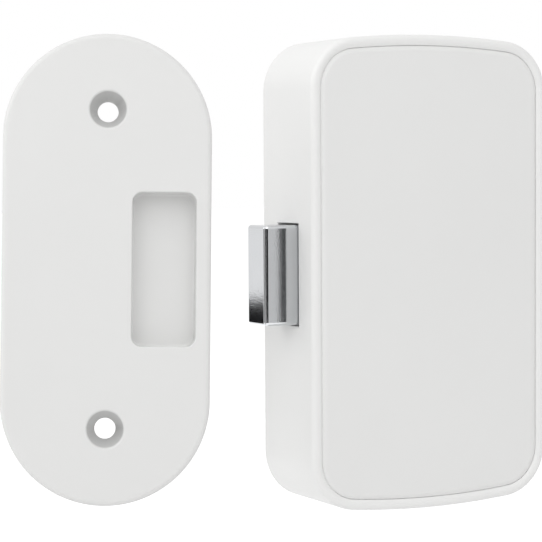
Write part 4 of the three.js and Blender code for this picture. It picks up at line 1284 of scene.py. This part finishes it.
@dataclass
class Screws(Assembly):
    """The cross-recessed pan-head screws."""

    shank: float = 0.9
    plain: float = 0.2
    thread: float = 0.16
    pitch: float = 0.45
    point_length: float = 0.6
    point_share: float = 0.4
    head: float = 1.7
    head_height: float = 1.2
    # Radius and height of the pan head's dome, from its flat top to its side.
    dome: tuple[tuple[float, float], ...] = ((0.9, 1.2), (1.35, 1.02), (1.62, 0.72), (1.7, 0.4))
    sides: int = 32
    cross: float = 1.05
    cross_width: float = 0.4
    cross_depth: float = 0.6

    def build(self) -> None:
        """Places a finished screw on each screw of the frame."""
        for node in SCREW_NODES:
            self.screw(node)

    def screw(self, node: str) -> None:
        """Models one screw.

        Args:
            node: Its CAD node.
        """
        box = Extent.of(node)
        seat = box.low.y + self.head_height
        tip = box.high.y - seat
        profile = [(0.0, -self.head_height), *((radius, -height) for radius, height in self.dome)]
        profile += [(self.head, 0.0), (self.shank, 0.0)]
        for k in range(int((tip - self.point_length) / self.pitch)):
            at = self.plain + k * self.pitch
            profile += [(self.shank - self.thread, at + self.pitch / 2), (self.shank, at + self.pitch)]
        profile += [(self.shank * self.point_share, tip), (0.0, tip)]
        x, z = box.middle.x, box.middle.z
        sculpt = Sculpt()
        sculpt.lathe(profile, (x, seat, z), Axis.Y.value, self.sides)
        top, bottom = box.low.y - OVERRUN, box.low.y + self.cross_depth
        arm, half = self.cross, self.cross_width / 2
        for across, upright in ((arm, half), (half, arm)):
            slit = Sculpt()
            slit.box((x - across, top, z - upright), (x + across, bottom, z + upright))
            sculpt.combine(slit, Combine.CUT)
        self.publish(sculpt, node + "_turned", SCREW_STEEL, node)


@dataclass
class Drive(Assembly):
    """The gear motor, its mount, the carriage and the pinion that moves it."""

    wheel_radius: float = 2.2
    wheel_width: float = 1.1
    wheel_edge: float = 0.08
    wheel_sides: int = 36
    wheel_inset: float = 2.9
    wheel_base: float = 2.2
    wheel_pitch: float = 2.0
    wheel_shift: float = 1.1
    teeth: int = 18
    tooth_half: float = 0.17
    tooth_root: float = 0.2
    tooth_height: float = 0.5
    tooth_edge: float = 0.06

    def build(self) -> None:
        """Dresses the drive's pieces and adds the wheels that show in the gearbox."""
        for node, finish, edge in (
            ("carriage", ACETAL, 0.12),
            ("carriage_magnet", MAGNET, 0.15),
            ("drive_pinion", BRASS, 0.05),
            ("drive_shaft", SCREW_STEEL, 0.15),
            ("gearbox", MOTOR_STEEL, 0.12),
            ("motor_can", MOTOR_STEEL, 0.45),
            ("motor_end_cap", BLACK_NYLON, 0.12),
            ("motor_bed", BLACK_NYLON, 0.3),
            ("motor_clamp", SHIELD, 0.15),
        ):
            self.refine(node, finish, edge)
        self.wheels()

    def wheels(self) -> None:
        """Models the toothed wheels at both sides of the gearbox."""
        box = Extent.of("gearbox")
        sculpt = Sculpt()
        for side in (-1, 1):
            x = box.middle.x + side * (box.size.x / 2 - self.wheel_inset)
            for step in (-1, 0, 1):
                y = box.middle.y + side * step * self.wheel_shift
                z = box.low.z + self.wheel_base + (step + 1) * self.wheel_pitch
                self.wheel(sculpt, Vector((x, y, z)))
        self.publish(sculpt, "gear_wheels", BRASS, rides=BODY_OF_NODE["gearbox"])

    def wheel(self, sculpt: Sculpt, middle: Vector) -> None:
        """Adds one toothed wheel across Z.

        Args:
            sculpt: Sculpt that takes it.
            middle: Middle of its lower face.
        """
        rise = Vector((0.0, 0.0, self.wheel_width))
        radius, edge, half = self.wheel_radius, self.wheel_edge, self.tooth_half
        low = (radius - self.tooth_root, -half, edge)
        high = (radius + self.tooth_height, half, self.wheel_width - edge)
        sculpt.rod(middle, middle + rise, radius, edge, self.wheel_sides)
        for tooth in range(self.teeth):
            turn = Matrix.Rotation(tooth * FULL_TURN / self.teeth, 4, "Z")
            known = set(sculpt.bm.verts)
            sculpt.box(low, high, self.tooth_edge)
            fresh = [v for v in sculpt.bm.verts if v not in known]
            bmesh.ops.transform(sculpt.bm, matrix=Matrix.Translation(middle) @ turn, verts=fresh)


@dataclass(frozen=True)
class Package:
    """A chip's moulded body, measured from its middle on the board, and the legs at its sides."""

    half_width: float
    half_height: float
    top: float
    foot: float
    legs: int
    pitch: float
    leg_half: float
    four_sided: bool
    leg_top: float = 0.3
    leg_foot: float = 0.02
    leg_root: float = 0.05
    leg_run: float = 0.65


CONTROLLER = Package(1.9, 1.9, top=0.9, foot=0.12, legs=6, pitch=0.6, leg_half=0.12, four_sided=True)
DRIVER = Package(1.0, 1.4, top=0.8, foot=0.1, legs=4, pitch=0.7, leg_half=0.14, four_sided=False)


@dataclass
class Electronics(Assembly):
    """The circuit board and what is soldered to it."""

    chip_edge: float = 0.08
    small_edge: float = 0.04
    copper: float = 0.035
    ring_inner: float = 1.25
    ring_outer: float = 2.0
    radio_board: float = 0.7
    radio_edge: float = 0.05
    shield_left: float = 2.2
    shield_margin: float = 0.2
    shield_edge: float = 0.3
    shield_steps: int = 4
    shield_lift: float = 0.6
    aerial_left: float = 0.35
    aerial_right: float = 1.85
    aerial_line: float = 0.35
    aerial_margin: float = 0.6
    aerial_step: float = 1.0
    drum_steps: int = 56
    sound_hole: float = 0.9
    sound_depth: float = 1.2
    # Middles of the packages and of the first small part, from the board's right edge and from its top,
    # but for the driver from its bottom.
    controller_at: tuple[float, float] = (9.0, 7.5)
    driver_at: tuple[float, float] = (8.6, 3.0)
    smalls_at: tuple[float, float] = (12.4, 12.2)
    smalls_pitch: tuple[float, float] = (1.7, 1.4)
    smalls: int = 7
    smalls_in_row: int = 4
    # Half width, height over the board and half depth of a small part's body, then of its ends.
    small_body: tuple[float, float, float] = (0.32, 0.42, 0.26)
    small_end: tuple[float, float, float] = (0.55, 0.44, 0.28)
    small_end_start: float = 0.3
    # How far a body and a soldered end stand off the board.
    body_lift: float = 0.02
    end_lift: float = 0.01
    leg_pitch: float = 0.95
    leg_half: float = 0.2
    leg_rise: float = 0.3
    leg_reach: float = 0.7
    leg_root: float = 0.1

    def build(self) -> None:
        """Dresses the board and models its parts."""
        self.refine("main_board", LAMINATE, 0.08)
        self.radio()
        self.buzzer()
        for node, finish, edge in (
            ("pairing_switch", SHIELD, 0.15),
            ("pairing_button", BLACK_NYLON, 0.2),
            ("motor_socket", ACETAL, 0.1),
            ("cell_socket", ACETAL, 0.1),
            ("position_sensor", BLACK_NYLON, 0.12),
        ):
            self.refine(node, finish, edge)
        self.chips()
        self.solder()

    def radio(self) -> None:
        """Models the radio module: its plate, its shield and its printed aerial."""
        box = Extent.of("radio_module")
        low, high, front = box.low, box.high, box.high.y - self.radio_board
        plate = Sculpt()
        plate.box((low.x, front, low.z), high, self.radio_edge)
        self.publish(plate, "radio_plate", LAMINATE, "radio_module")
        can = Sculpt()
        margin = self.shield_margin
        near = (low.x + self.shield_left, low.y, low.z + margin)
        far = (high.x - margin, high.y - self.shield_lift, high.z - margin)
        can.box(near, far, self.shield_edge, self.shield_steps)
        self.publish(can, "radio_shield", SHIELD, "radio_module")
        aerial = Sculpt()
        line, step, raised = self.aerial_line, self.aerial_step, front - self.copper
        left, right = low.x + self.aerial_left, low.x + self.aerial_right
        rows = int((box.size.z - 2 * self.aerial_margin) / step)
        for row in range(rows):
            z = low.z + self.aerial_margin + row * step
            aerial.box((left, raised, z), (right, front, z + line))
            side = left if row % 2 else right - line
            if row < rows - 1:
                aerial.box((side, raised, z), (side + line, front, z + step))
        self.publish(aerial, "radio_aerial", CONTACT, rides=BODY_OF_NODE["radio_module"])

    def buzzer(self) -> None:
        """Models the buzzer's drum with its step and sound hole."""
        box = Extent.of("buzzer")
        radius, height, hole = box.size.x / 2, box.size.y, self.sound_hole
        profile = [
            (0.0, 0.0),
            (radius - 0.1, 0.0),
            (radius, 0.1),
            (radius, height - 0.9),
            (radius - 0.25, height - 0.8),
            (radius - 0.25, height - 0.35),
            (radius - 0.6, height),
            (hole + 0.2, height),
            (hole, height - 0.15),
            (hole, height - self.sound_depth),
            (0.0, height - self.sound_depth),
        ]
        sculpt = Sculpt()
        origin = (box.middle.x, box.high.y, box.middle.z)
        sculpt.lathe(profile, origin, Axis.FRONT.value, self.drum_steps)
        self.publish(sculpt, "buzzer_drum", BLACK_NYLON, "buzzer")

    def chips(self) -> None:
        """Models the controller, the driver and the small two-ended parts."""
        board = Extent.of("main_board")
        face, right, top = board.low.y, board.high.x, board.high.z
        black, metal = Sculpt(), Sculpt()
        across, down = self.controller_at
        self.package(black, metal, Vector((right - across, face, top - down)), CONTROLLER)
        across, up = self.driver_at
        self.package(black, metal, Vector((right - across, face, board.low.z + up)), DRIVER)
        first = Vector((right - self.smalls_at[0], face, top - self.smalls_at[1]))
        for k in range(self.smalls):
            row, column = divmod(k, self.smalls_in_row)
            at = first + Vector((column * self.smalls_pitch[0], 0.0, -row * self.smalls_pitch[1]))
            x, y, z = self.small_body
            black.box((-x, -y, -z), (x, -self.body_lift, z), self.small_edge, at=at)
            x, y, z = self.small_end
            for way in (-1, 1):
                near, far = way * self.small_end_start, way * x
                metal.box((near, -y, -z), (far, -self.end_lift, z), self.small_edge, at=at)
        body = BODY_OF_NODE["main_board"]
        self.publish(black, "board_chips", BLACK_NYLON, rides=body)
        self.publish(metal, "board_terminals", CONTACT, rides=body)

    def package(self, black: Sculpt, metal: Sculpt, at: Vector, chip: Package) -> None:
        """Adds a chip's body and its legs.

        Args:
            black: Sculpt that takes the body.
            metal: Sculpt that takes the legs.
            at: Chip's middle on the board's face.
            chip: Chip's sizes.
        """
        x, z, half = chip.half_width, chip.half_height, chip.leg_half
        black.box((-x, -chip.top, -z), (x, -chip.foot, z), self.chip_edge, at=at)
        high, low = -chip.leg_top, -chip.leg_foot
        root = x - chip.leg_root
        for k in range(chip.legs):
            offset = (k - (chip.legs - 1) / 2) * chip.pitch
            for way in (-1, 1):
                near, far = way * root, way * (root + chip.leg_run)
                metal.box((near, high, offset - half), (far, low, offset + half), at=at)
                if chip.four_sided:
                    metal.box((offset - half, high, near), (offset + half, low, far), at=at)

    def solder(self) -> None:
        """Models the tinned rings round the board's screws and the sensor's legs."""
        face = Extent.of("main_board").low.y
        inner, outer, copper = self.ring_inner, self.ring_outer, self.copper
        ring = [(inner, 0.0), (outer, 0.0), (outer, copper), (inner, copper), (inner, 0.0)]
        sculpt = Sculpt()
        for node in SCREW_NODES:
            if node.startswith("board"):
                at = Extent.of(node).middle
                sculpt.lathe(ring, (at.x, face, at.z), Axis.FRONT.value)
        sensor = Extent.of("position_sensor")
        bottom, top = sensor.low.z - self.leg_reach, sensor.low.z + self.leg_root
        for k in (-1, 0, 1):
            x = sensor.middle.x + k * self.leg_pitch
            low = (x - self.leg_half, face - self.leg_rise, bottom)
            sculpt.box(low, (x + self.leg_half, face - self.body_lift, top), self.small_edge)
        self.publish(sculpt, "board_tinned_rings", CONTACT, rides=BODY_OF_NODE["main_board"])


@dataclass
class PowerPack(Assembly):
    """The tray, the two cells and the contacts."""

    sleeve_wall: float = 0.15
    button_radius: float = 1.9
    button_length: float = 0.9
    band_length: float = 11.0
    band_blur: float = 0.1
    sheet: float = 0.3
    sheet_edge: float = 0.1
    dimple_radius: float = 1.4
    dimple_height: float = 0.15
    dimple_sink: float = 0.1
    dimple_edge: float = 0.12
    coil_wire: float = 0.5
    coil_base: float = 3.2
    coil_tip: float = 1.5
    coil_turns: float = 2.0

    def build(self) -> None:
        """Models the cells and contacts and dresses the tray."""
        self.refine("battery_tray", BLACK_NYLON, 0.25)
        self.cell("upper_cell", -1)
        self.cell("lower_cell", 1)
        self.contact("positive_contact", -1, None)
        self.contact("negative_contact", -1, "lower_cell")
        self.contact("bridge_contact", 1, "upper_cell")

    def cell(self, node: str, way: int) -> None:
        """Models a cell: the steel can and the sleeve over it.

        Args:
            node: CAD node.
            way: Side of its button, -1 for left.
        """
        box = Extent.of(node)
        radius = box.size.y / 2
        base, end = (box.high.x, box.low.x) if way < 0 else (box.low.x, box.high.x)
        foot = (base, box.middle.y, box.middle.z)
        length, button = box.size.x, self.button_radius
        body = length - self.button_length
        inner = radius - self.sleeve_wall
        steel = [
            (0.0, 0.12),
            (radius - 1.6, 0.12),
            (radius - 1.3, 0.0),
            (inner - 0.4, 0.02),
            (inner, 0.4),
            (inner, body - 0.6),
            (inner - 0.5, body - 0.1),
            (button + 0.6, body - 0.1),
            (button, body + 0.05),
            (button, length - 0.2),
            (button - 0.2, length),
            (0.0, length),
        ]
        can = Sculpt()
        can.lathe(steel, foot, (way, 0, 0), ROUND_STEPS)
        self.publish(can, node + "_can", CONTACT, node)
        film = [
            (radius - 0.9, 0.0),
            (radius - 0.35, 0.0),
            (radius, 0.35),
            (radius, body - 0.4),
            (radius - 0.3, body - 0.02),
            (radius - 1.5, body),
            (radius - 1.5, body - 0.08),
            (inner, body - 0.4),
            (inner, 0.4),
            (radius - 0.9, 0.06),
            (radius - 0.9, 0.0),
        ]
        sleeve = Sculpt()
        sleeve.lathe(film, foot, (way, 0, 0), ROUND_STEPS)
        edge = end - way * self.band_length
        finish = replace(
            SLEEVE, name=f"{SLEEVE.name}_{node}", band_from_mm=edge, band_to_mm=edge + way * self.band_blur
        )
        self.publish(sleeve, node + "_sleeve", finish, node)

    def contact(self, node: str, side: int, cell: str | None) -> None:
        """Models a contact strip and, where it has one, its coil.

        Args:
            node: CAD node.
            side: End of the tray, -1 for left.
            cell: Cell that the coil presses on.
        """
        box = Extent.of(node)
        outer = box.low.x if side < 0 else box.high.x
        inner = outer - side * self.sheet
        sculpt = Sculpt()
        sculpt.box((outer, box.low.y, box.low.z), (inner, box.high.y, box.high.z), self.sheet_edge)
        if cell is None:
            y, z = box.middle.y, box.middle.z
            crest, root = inner - side * self.dimple_height, inner + side * self.dimple_sink
            sculpt.rod((crest, y, z), (root, y, z), self.dimple_radius, self.dimple_edge)
        else:
            at, wire = Extent.of(cell).middle, self.coil_wire
            end_x = (box.high.x if side < 0 else box.low.x) + side * wire / 2
            sculpt.coil((inner, at.y, at.z), end_x, self.coil_base, wire, self.coil_turns, self.coil_tip)
        self.publish(sculpt, node + "_strip", CONTACT, node)


@dataclass
class Wiring(Assembly):
    """The insulated leads between the motor, the cells and the board."""

    rounding: int = 2

    def build(self) -> None:
        """Rounds a copy of each lead's solid and dresses it."""
        for node in sorted(BODY_OF_NODE):
            if "_lead_" in node:
                finish = LEAD_RED if node.endswith("red") else LEAD_BLACK
                piece = self.publish(self.copy_of(node), node + "_wire", finish, node)
                smooth = piece.modifiers.new("round", "SUBSURF")
                smooth.levels = smooth.render_levels = self.rounding


@dataclass
class Studio:
    """The camera, the light and the floor."""

    image_px: int = 542
    focal_px: float = 2000.0
    sensor_mm: float = 36.0
    heading: float = math.radians(26.96)
    pitch: float = math.radians(-2.96)
    roll: float = math.radians(-0.34)
    shift: tuple[float, float] = (-22.6, -0.6)
    distance: float = 415.6
    clip: tuple[float, float] = (0.01, 50.0)
    floor_z: float = -0.125
    floor_reach: float = 6.0
    floor_lift: float = 0.5
    sky: float = 0.63
    white: str = "#f4f4f4"

    def build(self) -> None:
        """Sets up the picture."""
        bpy.context.scene.view_settings.view_transform = "Standard"
        self.camera()
        self.world()
        self.lamp("key_softbox", (-0.28, -0.44, 0.42), 0.75, 2.0)
        self.lamp("left_softbox", (-0.70, 0.28, 0.30), 0.5, 1.4)
        self.lamp("top_softbox", (0.1, -0.1, 1.0), 0.8, 0.6)
        self.floor()
        self.card("grey_card", (0.165, -0.93, -0.05), (0.28, 0.5), "#fdfdfd")
        self.card("dark_band_card", (0.41, -0.93, -0.05), (0.16, 0.5), "#585859")
        self.card("dark_room_card", (-0.36, -1.0, -0.05), (0.9, 0.5), "#2a2a2c")
        self.card("dark_side_card", (-1.05, -0.1, -0.05), (1.7, 0.5), "#2a2a2c")
        self.card("dark_low_card", (-0.121, 0.164, -0.0475), (0.08, 0.06), "#1a1a1c")

    def camera(self) -> None:
        """Places the camera at the photograph's point of view."""
        ahead = Vector((math.sin(self.heading), math.cos(self.heading), 0.0))
        forward = ahead * math.cos(self.pitch) + Vector((0.0, 0.0, math.sin(self.pitch)))
        level = Vector((ahead.y, -ahead.x, 0.0))
        rise = level.cross(forward)
        right = math.cos(self.roll) * level + math.sin(self.roll) * rise
        up = -math.sin(self.roll) * level + math.cos(self.roll) * rise
        place = (right * self.shift[0] + up * self.shift[1] - forward * self.distance) * MM
        data = bpy.data.cameras.new("photograph_view")
        data.sensor_width = self.sensor_mm
        data.lens = self.focal_px * self.sensor_mm / self.image_px
        data.clip_start, data.clip_end = self.clip
        camera = add_object("photograph_view", data)
        turn = Matrix((right, up, -forward)).transposed().to_4x4()
        camera.matrix_world = Matrix.Translation(place) @ turn
        bpy.context.scene.camera = camera

    def world(self) -> None:
        """Makes the surroundings white to the eye and to metal, and softer as light."""
        world = bpy.data.worlds.new("white_sweep")
        bpy.context.scene.world = world
        world.use_nodes = True
        tree = world.node_tree
        tree.nodes.clear()
        rays = self.rays(tree, "Is Camera Ray", "Is Glossy Ray", "Is Transmission Ray")
        level = add_node(tree, "MapRange", {"To Min": self.sky, "To Max": 1.0}, {"Value": rays})
        sky = add_node(tree, "Background", {"Color": linear("#ffffff")}, {"Strength": level.outputs[0]})
        add_node(tree, "OutputWorld", links={"Surface": sky.outputs[0]})

    def rays(self, tree: bpy.types.NodeTree, *kinds: str) -> bpy.types.NodeSocket:
        """Tells whether a ray is of one of these kinds.

        Args:
            tree: Node tree that asks.
            kinds: Outputs of the light path.

        Returns:
            A socket that gives 1 for such a ray and 0 for others.
        """
        path = add_node(tree, "LightPath")
        found = path.outputs[kinds[0]]
        for kind in kinds[1:]:
            pair = {0: found, 1: path.outputs[kind]}
            found = add_node(tree, "Math", links=pair, operation="MAXIMUM").outputs[0]
        return found

    def lamp(self, name: str, place: Sequence[float], size: float, power: float) -> None:
        """Hangs a soft lamp that faces the object.

        Args:
            name: Lamp's name.
            place: Where it hangs, in metres.
            size: Side of its square, in metres.
            power: Power in watts.
        """
        data = bpy.data.lights.new(name, "AREA")
        data.shape = "SQUARE"
        data.size = size
        data.energy = power
        lamp = add_object(name, data)
        lamp.location = place
        lamp.rotation_mode = "QUATERNION"
        lamp.rotation_quaternion = (-Vector(place)).to_track_quat("-Z", "Y")

    def floor(self) -> None:
        """Lays the pale floor, which reads as white and keeps the shadow."""
        made = blank_material("pale_paper_sweep")
        tree = made.node_tree
        paper = add_node(tree, "BsdfDiffuse", {"Color": linear(self.white)})
        seen = self.rays(tree, "Is Camera Ray", "Is Glossy Ray")
        glow = add_node(tree, "Math", {1: self.floor_lift}, {0: seen}, operation="MULTIPLY")
        lift = add_node(tree, "Emission", links={"Strength": glow.outputs[0]})
        both = add_node(tree, "AddShader", links={0: paper.outputs[0], 1: lift.outputs[0]})
        add_node(tree, "OutputMaterial", links={"Surface": both.outputs[0]})
        reach = self.floor_reach
        fit = Matrix.Diagonal((reach, reach, 1.0, 1.0))
        self.sheet("floor", Matrix.Translation((0.0, 0.0, self.floor_z)) @ fit, made)

    def card(self, name: str, place: Sequence[float], size: Sequence[float], colour: str) -> None:
        """Stands a matt card near the object, to be seen in its reflections only.

        Args:
            name: Card's name.
            place: Its middle, in metres.
            size: Its width and height, in metres.
            colour: Its colour.
        """
        made = blank_material(name + "_matt")
        matt = add_node(made.node_tree, "BsdfDiffuse", {"Color": linear(colour)})
        add_node(made.node_tree, "OutputMaterial", links={"Surface": matt.outputs[0]})
        facing = (-Vector(place)).to_track_quat("Z", "Y").to_matrix().to_4x4()
        fit = Matrix.Diagonal((size[0] / 2, size[1] / 2, 1.0, 1.0))
        card = self.sheet(name, Matrix.Translation(place) @ facing @ fit, made)
        card.visible_camera = False
        card.visible_diffuse = False
        card.visible_shadow = False

    def sheet(self, name: str, place: Matrix, made: bpy.types.Material) -> bpy.types.Object:
        """Adds a flat sheet that isn't part of the object.

        Args:
            name: Sheet's name.
            place: What brings a square of two metres to its size and place.
            made: Sheet's material.

        Returns:
            The sheet.
        """
        square = Sculpt()
        bmesh.ops.create_grid(square.bm, x_segments=1, y_segments=1, size=1.0, matrix=place)
        sheet = square.place(name)
        square.bm.free()
        sheet.data.materials.append(made)
        return sheet


def main() -> None:
    """Builds every assembly in order."""
    logging.basicConfig(level=logging.INFO, format="%(message)s")
    for assembly in (
        Studio(),
        CaseShell(),
        FrontCover(),
        StrikePlate(),
        Latch(),
        Screws(),
        Drive(),
        Electronics(),
        PowerPack(),
        Wiring(),
    ):
        assembly.build()


if __name__ == "__main__":
    main()
